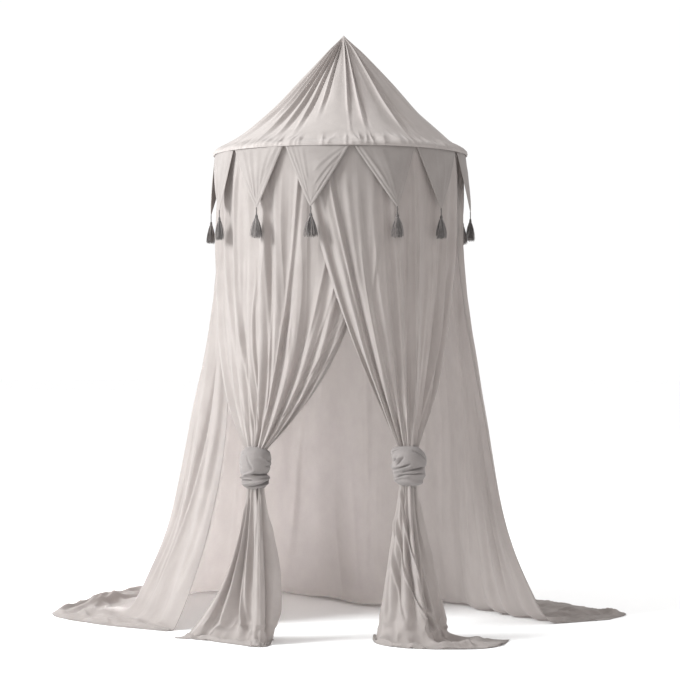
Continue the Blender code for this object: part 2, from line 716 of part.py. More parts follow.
def tassel_mesh():
    """One tassel, hanging down from its own origin, its head and locks fused."""
    head = tassel_head()
    locks = tassel_locks()
    fuse(head, locks)
    head.hide_render = True
    head.display_type = "WIRE"
    depsgraph = bpy.context.evaluated_depsgraph_get()
    mesh = bpy.data.meshes.new_from_object(head.evaluated_get(depsgraph))
    mesh.name = "tassel"
    return mesh


def make_tassels():
    mesh = tassel_mesh()
    material = principled("tassel yarn", (0.12, 0.10, 0.095), 0.95)
    mesh.materials.clear()
    mesh.materials.append(material)
    for number in range(PENNANTS):
        tassel = bpy.data.objects.new(f"tassel_{number + 1:02d}", mesh)
        CANOPY.objects.link(tassel)
        tassel.parent = FLOOR_FRAME
        degrees = pennant_middle(number) + PENNANT_HANG[number].lean
        x, y = on_circle(PENNANT_RADIUS + PENNANT_FLARE, degrees)
        tassel.location = (x, y, PENNANT_TOP - PENNANT_DROP - TASSEL_GAP)
        tassel.rotation_euler.z = math.radians(degrees)
        tassel.scale.y = TASSEL_FLATNESS


# ---------------------------------------------------------------- the canopy

for old in list(bpy.data.objects):
    bpy.data.objects.remove(old, do_unlink=True)

CANOPY = bpy.data.collections.new("Mosquito net canopy")
FORMERS = bpy.data.collections.new("Formers")
bpy.context.scene.collection.children.link(CANOPY)
bpy.context.scene.collection.children.link(FORMERS)

FLOOR_FRAME = bpy.data.objects.new("floor_frame", None)
FLOOR_FRAME.location = (-TIP_SHIFT, 0, -TOTAL_HEIGHT)
CANOPY.objects.link(FLOOR_FRAME)

make_hoop()
make_roof()
make_back()
make_front("curtain_left", LEFT_CURTAIN)
make_front("curtain_right", RIGHT_CURTAIN)
pennant_material = principled("pennant voile", (0.46, 0.42, 0.41), 0.9)
for pennant in range(PENNANTS):
    make_pennant(pennant, pennant_material)
make_tassels()
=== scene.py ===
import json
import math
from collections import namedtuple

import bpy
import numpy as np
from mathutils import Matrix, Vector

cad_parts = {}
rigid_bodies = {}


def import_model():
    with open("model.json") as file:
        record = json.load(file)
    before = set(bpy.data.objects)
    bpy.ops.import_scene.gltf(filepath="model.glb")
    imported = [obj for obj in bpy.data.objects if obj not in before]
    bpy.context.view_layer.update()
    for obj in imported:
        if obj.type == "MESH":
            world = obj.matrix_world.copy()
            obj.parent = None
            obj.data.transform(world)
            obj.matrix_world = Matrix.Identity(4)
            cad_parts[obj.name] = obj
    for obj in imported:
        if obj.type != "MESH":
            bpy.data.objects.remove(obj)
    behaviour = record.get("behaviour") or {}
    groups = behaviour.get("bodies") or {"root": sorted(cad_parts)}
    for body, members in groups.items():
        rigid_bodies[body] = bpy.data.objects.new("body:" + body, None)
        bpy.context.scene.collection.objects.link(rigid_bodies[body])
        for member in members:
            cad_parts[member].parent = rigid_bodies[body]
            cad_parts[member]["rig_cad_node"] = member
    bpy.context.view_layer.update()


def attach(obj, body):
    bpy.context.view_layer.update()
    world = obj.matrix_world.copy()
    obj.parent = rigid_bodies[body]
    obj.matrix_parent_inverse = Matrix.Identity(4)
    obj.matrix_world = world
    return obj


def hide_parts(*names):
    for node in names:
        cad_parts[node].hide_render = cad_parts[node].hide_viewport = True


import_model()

# Looks of the mosquito net canopy with hoop: each sheet is drawn again on its solid's own folds, finer, with
# the small creases, hems, knots and threads that the solids leave out. Lengths are in metres. Shapes are
# worked out over the floor, round the hoop's axis, and lowered under the tip at the end. Plan angles are in
# degrees from the front, positive towards +X. "down" runs from 0 at the top of a sheet to 1 at its foot,
# "share" from 0 to 1 across its width.


def records(kind, *table):
    """The rows of a table as records of one kind."""
    return [kind(*row) for row in table]


# ----- sizes shared with the solids

TOTAL_HEIGHT = 2.39
TIP_SHIFT = 0.015
CURTAIN_TOP = 1.9025
SWELL, SWELL_DROP = 0.0055, 0.2
SHEET_REST = 0.0022  # height of a sheet that lies flat on the floor

Ring = namedtuple("Ring", "drop radius sway")
ROOF_RINGS = records(
    Ring,
    (0.0, 0.0, 0.0), (0.1, 0.096, 0.009), (0.2, 0.189, 0.013),
    (0.3, 0.282, 0.013), (0.394, 0.389, 0.01), (0.443, 0.454, 0.0),
    (0.4685, 0.4945, 0.0), (0.48, 0.51, 0.0), (0.492, 0.5115, 0.0),
)
Pleat = namedtuple("Pleat", "at height spread reach")
ROOF_PLEATS = records(
    Pleat,
    (-158, 0.009, 8.0, 0.95), (-131, 0.008, 7.0, 0.85), (-108, 0.01, 6.5, 0.95),
    (-88, 0.009, 5.0, 0.95), (-74, 0.009, 3.8, 0.95), (-61, 0.01, 3.6, 1.0),
    (-51, 0.008, 3.2, 0.85), (-42, 0.012, 3.0, 1.0), (-33, 0.011, 2.8, 1.0),
    (-24.5, 0.01, 2.8, 0.95), (-15, 0.009, 3.2, 0.8), (4.5, 0.008, 3.0, 0.82),
    (13, 0.011, 3.0, 0.92), (35, 0.012, 3.4, 0.95), (42.5, 0.006, 3.0, 0.95),
    (66, 0.006, 6.0, 0.8), (92, 0.007, 7.0, 0.8), (120, 0.008, 8.0, 0.9),
    (152, 0.007, 8.0, 0.85),
)

PENNANTS = 12
PENNANT_PITCH = 360 / PENNANTS
FIRST_JUNCTION = 5
PENNANT_RADIUS, PENNANT_FLARE = 0.5035, 0.0325
PENNANT_TOP, PENNANT_DROP = 1.908, 0.24
PENNANT_GAP, PENNANT_POINT = 0.0016, 0.004
Pennant = namedtuple("Pennant", "lean belly")
PENNANT_HANG = records(
    Pennant,
    (3.9, 0.006), (-3.2, 0.003), (-4.0, 0.005), (-2.0, 0.004), (1.5, 0.006), (0.5, 0.003),
    (-1.5, 0.005), (2.0, 0.004), (1.0, 0.005), (8.0, 0.003), (3.4, 0.004), (-1.9, 0.002),
)
TASSEL_GAP = 0.0012

Section = namedtuple("Section", "hoop mid_x mid_y foot_x foot_y hem_x hem_y")
BACK_TOP_RADIUS = 0.49
BACK_SECTIONS = records(
    Section,
    (72, 0.582, -0.085, 0.85, -0.02, 1.11, 0.09),
    (84, 0.574, 0.02, 0.765, 0.07, 1.2, 0.225),
    (96, 0.562, 0.11, 0.68, 0.15, 1.11, 0.345),
    (108, 0.538, 0.205, 0.62, 0.23, 1.01, 0.465),
    (122, 0.486, 0.32, 0.555, 0.34, 0.86, 0.625),
    (137, 0.395, 0.425, 0.45, 0.48, 0.66, 0.78),
    (153, 0.27, 0.465, 0.315, 0.43, 0.46, 0.79),
    (170, 0.1, 0.49, 0.155, 0.375, 0.2, 0.74),
    (187, -0.07, 0.52, -0.05, 0.57, -0.05, 0.88),
    (204, -0.24, 0.525, -0.24, 0.77, -0.3, 1.05),
    (221, -0.4, 0.47, -0.5, 0.79, -0.62, 1.11),
    (236, -0.505, 0.37, -0.7, 0.67, -0.91, 0.96),
    (248, -0.575, 0.22, -0.84, 0.45, -1.1, 0.63),
    (259, -0.602, 0.08, -0.87, 0.19, -1.21, 0.23),
    (268, -0.555, -0.03, -0.775, 0.01, -0.99, -0.02),
    (277, -0.463, -0.122, -0.662, -0.172, -0.69, -0.19),
)
Station = namedtuple("Station", "height to_middle to_foot")
BACK_STATIONS = records(
    Station,
    (CURTAIN_TOP, 0.0, 0.0), (1.72, 0.0, 0.0), (1.54, 0.02, 0.0), (1.3, 0.27, 0.0),
    (0.86, 1.0, 0.0), (0.34, 1.0, 0.44), (0.0, 1.0, 1.0),
)
Fold = namedtuple("Fold", "width height")
BACK_FOLDS = records(
    Fold,
    (0.9, 0.8), (1.1, 1.0), (0.8, 0.6), (1.3, 0.9), (1.1, 0.7), (1.5, 1.0), (1.2, 0.6), (1.4, 0.8),
    (1.2, 1.0), (1.5, 0.6), (1.1, 0.8), (1.2, 1.0), (0.9, 0.9), (0.8, 1.0),
)
BACK_FOLD_DEPTH, TRAIN_FOLD_DEPTH = 0.019, 0.017
TRAIN_RIPPLE, BACK_BEND, SEAM_FOLD = 0.006, 0.1, 0.0012
LEFT_FOLDS = records(
    Fold,
    (1.15, 0.9), (1.15, 0.5), (1.15, 0.9), (0.95, 0.5), (0.85, 1.0), (1.0, 0.4), (1.1, 1.0),
    (0.95, 0.6), (0.8, 0.8), (0.9, 0.7),
)
RIGHT_FOLDS = records(
    Fold,
    (0.85, 0.8), (0.9, 0.9), (1.15, 0.4), (1.5, 0.8), (1.2, 0.9), (1.2, 0.5), (1.3, 0.7),
    (1.3, 1.0), (0.6, 0.6),
)
LEFT_TAIL_FOLDS = records(
    Fold,
    (0.9, 0.8), (0.8, 0.9), (0.7, 0.6), (1.9, 0.9), (1.3, 0.8),
)
RIGHT_TAIL_FOLDS = records(
    Fold,
    (0.7, 0.7), (0.8, 0.9), (0.9, 0.7), (1.0, 1.0), (0.8, 0.7), (1.2, 0.9),
)
Strip = namedtuple("Strip", "share foot_x foot_y hem_x hem_y late swing")
LEFT_TAIL = records(
    Strip,
    (0.0, -0.605, -0.335, -0.645, -0.34, 1.9, 0.0),
    (0.22, -0.49, -0.375, -0.52, -0.395, 1.8, 0.0),
    (0.4, -0.372, -0.45, -0.382, -0.49, 1.3, 0.0),
    (0.58, -0.318, -0.495, -0.322, -0.535, 1.1, 0.0),
    (0.78, -0.268, -0.475, -0.272, -0.512, 0.9, 0.012),
    (1.0, -0.262, -0.36, -0.256, -0.368, 0.7, 0.05),
)
RIGHT_TAIL = records(
    Strip,
    (0.0, 0.15, -0.315, 0.13, -0.27, 1.1, 0.0),
    (0.14, 0.142, -0.415, 0.132, -0.44, 1.2, 0.0),
    (0.29, 0.205, -0.495, 0.215, -0.54, 1.6, 0.0),
    (0.45, 0.3, -0.52, 0.34, -0.578, 2.1, 0.0),
    (0.61, 0.362, -0.5, 0.455, -0.582, 2.2, 0.004),
    (0.76, 0.398, -0.455, 0.55, -0.56, 2.0, 0.01),
    (0.9, 0.415, -0.395, 0.62, -0.49, 1.8, 0.018),
    (1.0, 0.42, -0.33, 0.655, -0.385, 1.7, 0.022),
)
Girth = namedtuple("Girth", "height width")
LEFT_GIRTHS = records(
    Girth,
    (0.0, 0.55), (0.1, 0.8), (0.22, 0.86), (0.33, 0.8), (0.46, 0.94), (0.66, 1.0),
    (0.86, 0.9), (1.0, 0.6),
)
RIGHT_GIRTHS = records(
    Girth,
    (0.0, 0.6), (0.1, 0.86), (0.24, 0.82), (0.36, 0.95), (0.52, 0.9), (0.68, 1.0),
    (0.86, 0.92), (1.0, 0.62),
)

# ----- tucks, creases and rolls of the looks alone

# A fold or groove across a knot, between two plan angles: its height at each end as a share of the knot's,
# how far its middle is bowed up, how far it stands out (less than 0: a groove), and half its width, a share.
Tuck = namedtuple("Tuck", "start start_height end end_height bow out half")
LEFT_TUCKS = records(
    Tuck,
    (-25, 0.405, 105, 0.345, -0.02, -0.015, 0.018),
    (-95, 0.29, 5, 0.44, 0.01, 0.012, 0.028),
    (-80, 0.385, -20, 0.4, -0.03, -0.008, 0.016),
    (-75, 0.255, -5, 0.245, 0.01, -0.011, 0.014),
    (-85, 0.155, 100, 0.29, -0.02, 0.013, 0.019),
    (-55, 0.105, 95, 0.225, -0.02, -0.015, 0.014),
    (-30, 0.045, 90, 0.175, -0.005, 0.0105, 0.016),
    (-20, 0.01, 90, 0.115, 0.0, -0.011, 0.012),
    (15, 0.32, 100, 0.3, 0.0, 0.006, 0.022),
    (-110, 0.86, -30, 0.945, 0.01, 0.0095, 0.04),
    (-105, 0.755, -50, 0.84, 0.0, -0.006, 0.02),
    (-105, 0.6, -55, 0.57, 0.0, -0.0048, 0.022),
    (-35, 0.82, -5, 0.5, -0.04, -0.0035, 0.05),
    (45, 0.66, 110, 0.6, -0.01, -0.005, 0.018),
    (40, 0.54, 110, 0.5, -0.01, -0.0055, 0.016),
    (15, 0.74, 65, 0.56, 0.03, 0.0026, 0.03),
    (95, 0.38, 250, 0.34, 0.06, -0.0124, 0.022),
    (100, 0.24, 260, 0.13, 0.02, 0.0093, 0.024),
    (110, 0.16, 250, 0.08, 0.0, -0.0093, 0.016),
    (130, 0.7, 230, 0.6, 0.03, -0.0062, 0.025),
)
RIGHT_TUCKS = records(
    Tuck,
    (-75, 0.71, -34, 0.91, 0.0, -0.0065, 0.02),
    (-80, 0.66, -52, 0.78, 0.0, 0.0051, 0.025),
    (-72, 0.52, -46, 0.6, 0.0, -0.008, 0.022),
    (-50, 0.44, -14, 0.71, 0.0, -0.0094, 0.026),
    (-58, 0.5, -28, 0.68, 0.0, 0.0051, 0.024),
    (-88, 0.34, 12, 0.61, -0.08, -0.0109, 0.019),
    (-45, 0.35, 14, 0.52, 0.0, 0.0072, 0.02),
    (-34, 0.31, 70, 0.58, 0.01, -0.013, 0.02),
    (-80, 0.25, 45, 0.46, 0.02, 0.0051, 0.02),
    (-68, 0.155, 70, 0.44, 0.03, -0.0094, 0.015),
    (-78, 0.11, 10, 0.29, 0.0, 0.008, 0.018),
    (8, 0.87, 72, 0.7, 0.04, -0.008, 0.018),
    (105, 0.47, 255, 0.6, 0.03, -0.0109, 0.02),
    (100, 0.34, 245, 0.42, 0.0, 0.0072, 0.022),
    (95, 0.28, 250, 0.33, 0.02, -0.0087, 0.018),
    (120, 0.78, 235, 0.84, 0.0, -0.0065, 0.022),
)

# A sharp fold pulled across a sheet: the share at its start, half way and end, how far down it runs from
# and to, how far it stands out (less than 0: a groove), and half its width as a share.
Crease = namedtuple("Crease", "start middle end top foot height width")
LEFT_CREASES = records(
    Crease,
    (0.1, 0.15, 0.27, 0.06, 0.96, -0.006, 0.03),
    (0.2, 0.19, 0.33, 0.02, 0.98, 0.003, 0.012),
    (0.3, 0.29, 0.42, 0.02, 0.97, 0.006, 0.011),
    (0.36, 0.35, 0.46, 0.3, 0.98, 0.0028, 0.01),
    (0.42, 0.4, 0.5, 0.1, 0.99, -0.009, 0.03),
    (0.43, 0.41, 0.52, 0.42, 0.96, 0.006, 0.008),
    (0.485, 0.51, 0.58, 0.02, 0.98, 0.0055, 0.009),
    (0.55, 0.55, 0.58, 0.05, 0.6, 0.0022, 0.012),
    (0.68, 0.62, 0.57, 0.02, 0.95, 0.008, 0.01),
    (0.645, 0.6, 0.585, 0.5, 0.94, -0.006, 0.014),
    (0.645, 0.65, 0.67, 0.54, 0.72, 0.0045, 0.012),
    (0.8, 0.76, 0.7, 0.12, 0.93, -0.006, 0.022),
    (0.85, 0.775, 0.7, 0.16, 0.95, 0.0035, 0.009),
    (0.9, 0.835, 0.75, 0.22, 0.95, 0.0035, 0.008),
    (0.95, 0.9, 0.69, 0.32, 0.97, 0.0035, 0.008),
    (0.975, 0.95, 0.77, 0.36, 0.97, 0.0035, 0.008),
    (0.6, 0.58, 0.56, 0.78, 0.99, 0.007, 0.01),
    (0.53, 0.51, 0.5, 0.88, 1.08, -0.018, 0.022),
    (0.74, 0.7, 0.64, 0.84, 1.08, -0.018, 0.024),
    (0.97, 0.965, 0.93, 0.45, 0.97, -0.004, 0.018),
)
RIGHT_CREASES = records(
    Crease,
    (0.955, 0.91, 0.88, 0.06, 0.9, -0.009, 0.028),
    (0.88, 0.83, 0.84, 0.02, 0.94, 0.008, 0.011),
    (0.78, 0.78, 0.79, 0.05, 0.52, 0.004, 0.018),
    (0.62, 0.66, 0.71, 0.28, 0.52, 0.0035, 0.012),
    (0.71, 0.7, 0.65, 0.46, 0.94, 0.004, 0.014),
    (0.6, 0.61, 0.6, 0.02, 0.9, -0.0035, 0.02),
    (0.53, 0.525, 0.52, 0.02, 0.93, 0.0045, 0.013),
    (0.4, 0.385, 0.375, 0.02, 0.98, 0.006, 0.009),
    (0.28, 0.27, 0.3, 0.1, 0.96, 0.0028, 0.012),
    (0.15, 0.15, 0.22, 0.05, 0.88, -0.007, 0.026),
    (0.08, 0.13, 0.18, 0.33, 0.97, 0.0055, 0.009),
    (0.22, 0.21, 0.23, 0.2, 0.97, 0.0035, 0.009),
    (0.68, 0.69, 0.76, 0.84, 1.08, -0.018, 0.024),
    (0.52, 0.51, 0.5, 0.84, 1.08, -0.018, 0.022),
    (0.26, 0.25, 0.24, 0.9, 1.08, -0.012, 0.022),
)
BACK_CREASES = records(
    Crease,
    (0.06, 0.07, 0.05, 0.02, 0.95, 0.0075, 0.005),
    (0.12, 0.12, 0.13, 0.05, 0.95, 0.0075, 0.005),
    (0.18, 0.2, 0.2, 0.3, 0.97, 0.012, 0.005),
    (0.235, 0.235, 0.25, 0.25, 0.95, 0.0083, 0.006),
    (0.31, 0.31, 0.32, 0.1, 0.9, 0.0045, 0.006),
    (0.39, 0.4, 0.39, 0.05, 0.95, 0.006, 0.006),
    (0.47, 0.46, 0.48, 0.1, 0.97, 0.0045, 0.005),
    (0.55, 0.57, 0.6, 0.25, 0.95, 0.006, 0.006),
    (0.66, 0.67, 0.66, 0.05, 0.95, 0.006, 0.005),
    (0.75, 0.76, 0.78, 0.1, 0.95, 0.0067, 0.005),
    (0.83, 0.82, 0.82, 0.15, 0.95, 0.0075, 0.005),
    (0.9, 0.9, 0.88, 0.3, 0.97, 0.009, 0.005),
    (0.985, 0.945, 0.9, 0.2, 0.98, -0.017, 0.005),
    (0.993, 0.956, 0.912, 0.2, 0.98, 0.007, 0.004),
    (0.996, 0.985, 0.97, 0.3, 0.98, -0.013, 0.008),
    (0.085, 0.09, 0.095, 0.3, 0.97, -0.012, 0.006),
    (0.098, 0.1, 0.108, 0.3, 0.97, 0.009, 0.004),
)
LEFT_TAIL_CREASES = records(
    Crease,
    (0.585, 0.59, 0.6, -0.12, 0.14, -0.024, 0.028),
    (0.8, 0.82, 0.8, -0.12, 0.6, -0.026, 0.03),
    (0.1, 0.11, 0.12, 0.1, 0.95, 0.0072, 0.018),
    (0.2, 0.19, 0.18, 0.3, 0.98, -0.0096, 0.02),
    (0.26, 0.28, 0.35, 0.05, 0.98, -0.0128, 0.022),
    (0.3, 0.32, 0.4, 0.08, 0.98, 0.0096, 0.012),
    (0.55, 0.53, 0.52, 0.2, 0.95, 0.004, 0.02),
    (0.68, 0.7, 0.72, 0.02, 0.4, 0.0072, 0.014),
    (0.8, 0.79, 0.77, 0.08, 0.98, -0.0192, 0.022),
    (0.9, 0.9, 0.88, 0.2, 0.9, 0.0064, 0.014),
)
RIGHT_TAIL_CREASES = records(
    Crease,
    (0.32, 0.33, 0.35, -0.08, 0.18, -0.0176, 0.03),
    (0.74, 0.76, 0.8, -0.08, 0.3, -0.0192, 0.03),
    (0.06, 0.16, 0.2, 0.2, 0.88, 0.0088, 0.012),
    (0.12, 0.24, 0.36, 0.28, 0.88, 0.0088, 0.012),
    (0.15, 0.36, 0.66, 0.18, 0.94, 0.0096, 0.013),
    (0.36, 0.45, 0.55, 0.3, 0.85, -0.0115, 0.024),
    (0.18, 0.52, 0.7, 0.04, 0.96, 0.0128, 0.018),
    (0.83, 0.72, 0.64, 0.02, 0.96, -0.0192, 0.024),
    (0.9, 0.88, 0.8, 0.1, 0.92, 0.008, 0.012),
)

# Creases of the front pennants, counted from 0; the place across them runs from -1 at the left edge to 1.
PENNANT_CREASES = {
    9: records(
        Crease,
        (-0.4, -0.35, -0.3, 0.02, 0.85, 0.0022, 0.12),
        (0.35, 0.3, 0.3, 0.05, 0.8, 0.0018, 0.1),
    ),
    10: records(
        Crease,
        (-0.6, -0.55, -0.5, 0.02, 0.8, 0.0022, 0.08),
        (-0.28, -0.25, -0.2, 0.02, 0.9, 0.0026, 0.07),
        (0.1, 0.12, 0.2, 0.05, 0.85, 0.0018, 0.08),
        (0.55, 0.45, 0.35, 0.02, 0.7, 0.0024, 0.07),
        (0.78, 0.7, 0.6, 0.02, 0.45, 0.0018, 0.06),
    ),
    11: records(
        Crease,
        (-0.82, -0.78, -0.7, 0.02, 0.85, 0.0026, 0.06),
        (-0.66, -0.62, -0.5, 0.02, 0.9, 0.0022, 0.05),
        (-0.48, -0.46, -0.4, 0.04, 0.6, 0.0018, 0.06),
        (0.9, 0.4, -0.1, 0.02, 0.5, 0.002, 0.07),
        (0.95, 0.55, 0.1, 0.08, 0.7, 0.0024, 0.06),
        (0.98, 0.75, 0.45, 0.16, 0.8, 0.002, 0.06),
    ),
    0: records(
        Crease,
        (-0.85, -0.75, -0.6, 0.02, 0.6, 0.002, 0.07),
        (-0.55, -0.5, -0.4, 0.02, 0.75, -0.0016, 0.08),
        (-0.2, -0.1, 0.0, 0.05, 0.85, 0.0014, 0.1),
        (0.5, 0.45, 0.4, 0.05, 0.6, 0.0012, 0.1),
    ),
    1: records(
        Crease,
        (-0.3, -0.25, -0.2, 0.02, 0.8, 0.0016, 0.1),
        (0.2, 0.3, 0.3, 0.05, 0.7, 0.0014, 0.08),
        (0.65, 0.6, 0.5, 0.1, 0.75, -0.0014, 0.08),
    ),
}

# A roll of the cloth that lies on the floor: the shares it lies between, how far out towards the hem each
# end of it is, its height, and half its width on the way out.
Roll = namedtuple("Roll", "start end start_out end_out height half")
TRAIN_ROLLS = records(
    Roll,
    (0.735, 0.875, 0.9, 0.93, 0.028, 0.045),
    (0.745, 0.865, 0.42, 0.78, 0.034, 0.06),
    (0.8, 0.96, 0.2, 0.55, 0.009, 0.11),
    (0.86, 0.98, 0.75, 0.6, 0.008, 0.08),
    (0.02, 0.12, 0.88, 0.92, 0.014, 0.05),
    (0.04, 0.2, 0.55, 0.8, 0.01, 0.07),
    (0.1, 0.28, 0.3, 0.5, 0.008, 0.1),
    (0.3, 0.45, 0.6, 0.8, 0.008, 0.12),
    (0.5, 0.68, 0.8, 0.5, 0.009, 0.11),
)
LEFT_TAIL_ROLLS = records(
    Roll,
    (0.0, 0.35, 0.5, 0.7, 0.013, 0.12),
    (0.25, 0.62, 0.78, 0.5, 0.013, 0.12),
    (0.55, 1.0, 0.45, 0.7, 0.011, 0.12),
)
RIGHT_TAIL_ROLLS = records(
    Roll,
    (0.35, 1.02, 0.78, 0.48, 0.018, 0.1),
    (0.55, 1.02, 0.12, 0.1, 0.014, 0.08),
    (0.05, 0.4, 0.6, 0.72, 0.012, 0.12),
    (0.6, 0.95, 0.6, 0.85, 0.009, 0.07),
)

Curtain = namedtuple(
    "Curtain",
    "outer leading knot_x knot_y knot_height knot_width knot_tall knot_slant outer_late leading_late "
    "cloth_width crossing top_radius folds tail tail_folds creases tail_creases tail_rolls girths tucks seed",
)
LEFT_CURTAIN = Curtain(
    outer=-82, leading=13, knot_x=-0.323, knot_y=-0.455, knot_height=0.672, knot_width=0.12,
    knot_tall=0.175, knot_slant=0.1, outer_late=4.5, leading_late=3.15, cloth_width=1.15, crossing=-1,
    top_radius=0.4925, folds=LEFT_FOLDS, tail=LEFT_TAIL, tail_folds=LEFT_TAIL_FOLDS,
    creases=LEFT_CREASES, tail_creases=LEFT_TAIL_CREASES, tail_rolls=LEFT_TAIL_ROLLS,
    girths=LEFT_GIRTHS, tucks=LEFT_TUCKS, seed=11,
)
RIGHT_CURTAIN = Curtain(
    outer=68, leading=-17, knot_x=0.26, knot_y=-0.47, knot_height=0.682, knot_width=0.134,
    knot_tall=0.164, knot_slant=-0.28, outer_late=2.4, leading_late=1.48, cloth_width=1.02, crossing=1,
    top_radius=0.4975, folds=RIGHT_FOLDS, tail=RIGHT_TAIL, tail_folds=RIGHT_TAIL_FOLDS,
    creases=RIGHT_CREASES, tail_creases=RIGHT_TAIL_CREASES, tail_rolls=RIGHT_TAIL_ROLLS,
    girths=RIGHT_GIRTHS, tucks=RIGHT_TUCKS, seed=23,
)
CROSSING_PART, CROSSING_BLEND = 0.015, 14
NECK_RADIUS, NECK_FOLD, NECK_DEPTH, NECK_OPENING = 0.03, 0.005, 0.03, 100
FOLD_SHARE, TAIL_FOLD_SHARE, LEAST_SURPLUS = 0.52, 0.38, 0.05
KNOT_DEPTH, KNOT_EASE, KNOT_END_RADIUS = 0.88, 0.0015, 0.004

# ----- small relief, its heights in metres

ROOF_WAVE, ROOF_WRINKLE, SEAM_PUCKER, LIP_BAND, PANEL_SEAM = 0.002, 0.0012, 0.0065, 0.0013, 0.0022
BACK_WAVE, BACK_WRINKLE, BACK_GRAIN, BACK_PUCKER = 0.0058, 0.0048, 0.0014, 0.001
TRAIN_RUMPLE, TRAIN_WAVE = 0.017, 0.007
FRONT_WAVE, FRONT_WRINKLE, FRONT_GRAIN, FRONT_PUCKER = 0.0032, 0.004, 0.0009, 0.001
TAIL_WRINKLE, TAIL_GRAIN, FOOT_RUMPLE, FLOOR_RUMPLE, FLOOR_FOLD = 0.0035, 0.0012, 0.011, 0.011, 0.012
KNOT_WAVE, KNOT_WRINKLE = 0.0022, 0.0014
PENNANT_WAVE, PENNANT_WRINKLE, PENNANT_GATHER = 0.003, 0.0012, 0.0012
PENNANT_RIM, PENNANT_STITCH = 0.0007, 0.0012
HEM_GAP, BACK_HEM_GAP, TRAIN_HEM_GAP = 0.0014, 0.0016, 0.0012

# ----- ways of working out a shape


def on_circle(radius, degrees):
    angle = np.radians(degrees)
    return np.stack([radius * np.sin(angle), -radius * np.cos(angle)], axis=-1)


def ramp(value, start, end):
    """Smooth step from 0 at start to 1 at end."""
    t = np.clip((np.asarray(value, float) - start) / (end - start), 0, 1)
    return t * t * (3 - 2 * t)


def hump(value, middle, half):
    """Rounded hump that is 1 at its middle."""
    return np.exp(-(((value - middle) / half) ** 2))


def through(knots, values, at):
    """Smooth curve through table values, read at the places in at."""
    knots, values, at = (np.asarray(item, float) for item in (knots, values, at))
    slopes = np.gradient(values, knots, axis=0)
    left = np.clip(np.searchsorted(knots, at) - 1, 0, len(knots) - 2)
    span = knots[left + 1] - knots[left]
    t = (at - knots[left]) / span
    if values.ndim > 1:
        t, span = t[..., None], span[..., None]
    return (
        (2 * t**3 - 3 * t**2 + 1) * values[left]
        + (t**3 - 2 * t**2 + t) * span * slopes[left]
        + (3 * t**2 - 2 * t**3) * values[left + 1]
        + (t**3 - t**2) * span * slopes[left + 1]
    )


def from_table(table, fields, at, knots=None):
    """Fields of a table on a smooth curve through its rows, evenly spaced where no knots are given."""
    if knots is None:
        knots = np.linspace(0, 1, len(table))
    values = [[getattr(row, field) for field in fields.split()] for row in table]
    return through(knots, np.squeeze(values), at)


def fold_wave(folds, share):
    """Height of the folds at a share of the width: -1 in a valley, up to 1 on a crest."""
    widths = np.array([fold.width for fold in folds])
    edges = np.concatenate([[0], np.cumsum(widths)]) / widths.sum()
    heights = np.array([fold.height for fold in folds])
    which = np.clip(np.searchsorted(edges, share, side="right") - 1, 0, len(folds) - 1)
    t = (share - edges[which]) / (edges[which + 1] - edges[which])
    return heights[which] * (1 - np.cos(2 * np.pi * t)) - 1


def fold_depth(curtain, plan, shares, folds, taken):
    """Depth of folds that take up this part of the width that a curtain has to spare where it is drawn in."""
    step = np.linalg.norm(np.gradient(plan, axis=1), axis=2) / np.gradient(np.ravel(shares))
    surplus = np.sqrt(np.maximum(curtain.cloth_width**2 - step**2, LEAST_SURPLUS))
    return taken * surplus / (4 * len(folds))


def plan_normals(plan):
    along = np.gradient(plan, axis=1)
    along /= np.maximum(np.linalg.norm(along, axis=2, keepdims=True), 1e-9)
    return np.stack([along[..., 1], -along[..., 0]], axis=-1)


def noise(u, v, cells_u, cells_v, seed, closed=False):
    """Smooth unevenness from about -1 to 1, with so many cells along u and v from 0 to 1."""
    table = np.random.default_rng(seed).uniform(-1, 1, (cells_u + 4, cells_v + 4))
    if closed:
        table[cells_u:] = table[:4]
    u, v = np.broadcast_arrays(np.clip(u, 0, 1) * cells_u, np.clip(v, 0, 1) * cells_v)
    i = np.minimum(u.astype(int), cells_u - 1)
    j = np.minimum(v.astype(int), cells_v - 1)

    def weights(t):
        return (
            (1 - t) ** 3 / 6,
            (3 * t**3 - 6 * t**2 + 4) / 6,
            (-3 * t**3 + 3 * t**2 + 3 * t + 1) / 6,
            t**3 / 6,
        )

    total = 0
    for a, along_u in enumerate(weights(u - i)):
        for b, along_v in enumerate(weights(v - j)):
            total = total + along_u * along_v * table[i + a, j + b]
    return 1.7 * total


def creased(u, v, cells_u, cells_v, seed, closed=False):
    """Unevenness with soft hollows and narrow crests, from about -0.5 to 0.5."""
    return 0.5 - np.minimum(1.4 * np.abs(noise(u, v, cells_u, cells_v, seed, closed)), 1) ** 0.8


def crease_rise(creases, share, down, right):
    """How far sharp folds stand out, each with a groove on its right; right is the way that share grows."""
    rise = 0
    for crease in creases:
        t = np.clip((down - crease.top) / (crease.foot - crease.top), 0, 1)
        middle = crease.start * (1 - t) * (1 - 2 * t) + 4 * crease.middle * t * (1 - t)
        middle = middle + crease.end * t * (2 * t - 1)
        off = right * (share - middle) / crease.width
        ends = ramp(down, crease.top, crease.top + 0.10) * (1 - ramp(down, crease.foot - 0.10, crease.foot))
        groove = 0.55 * hump(off, 1.9, 1) if crease.height > 0 else 0
        rise = rise + crease.height * (hump(off, 0, 1) - groove) * ends
    return rise


def roll_rise(rolls, share, along):
    """Height of the rolls of cloth that lies on the floor."""
    rise = 0
    for roll in rolls:
        t = np.clip((share - roll.start) / (roll.end - roll.start), 0, 1)
        off = along - roll.start_out - (roll.end_out - roll.start_out) * t
        rise = rise + roll.height * hump(off, 0, roll.half) * np.sin(np.pi * t) ** 0.5
    return rise


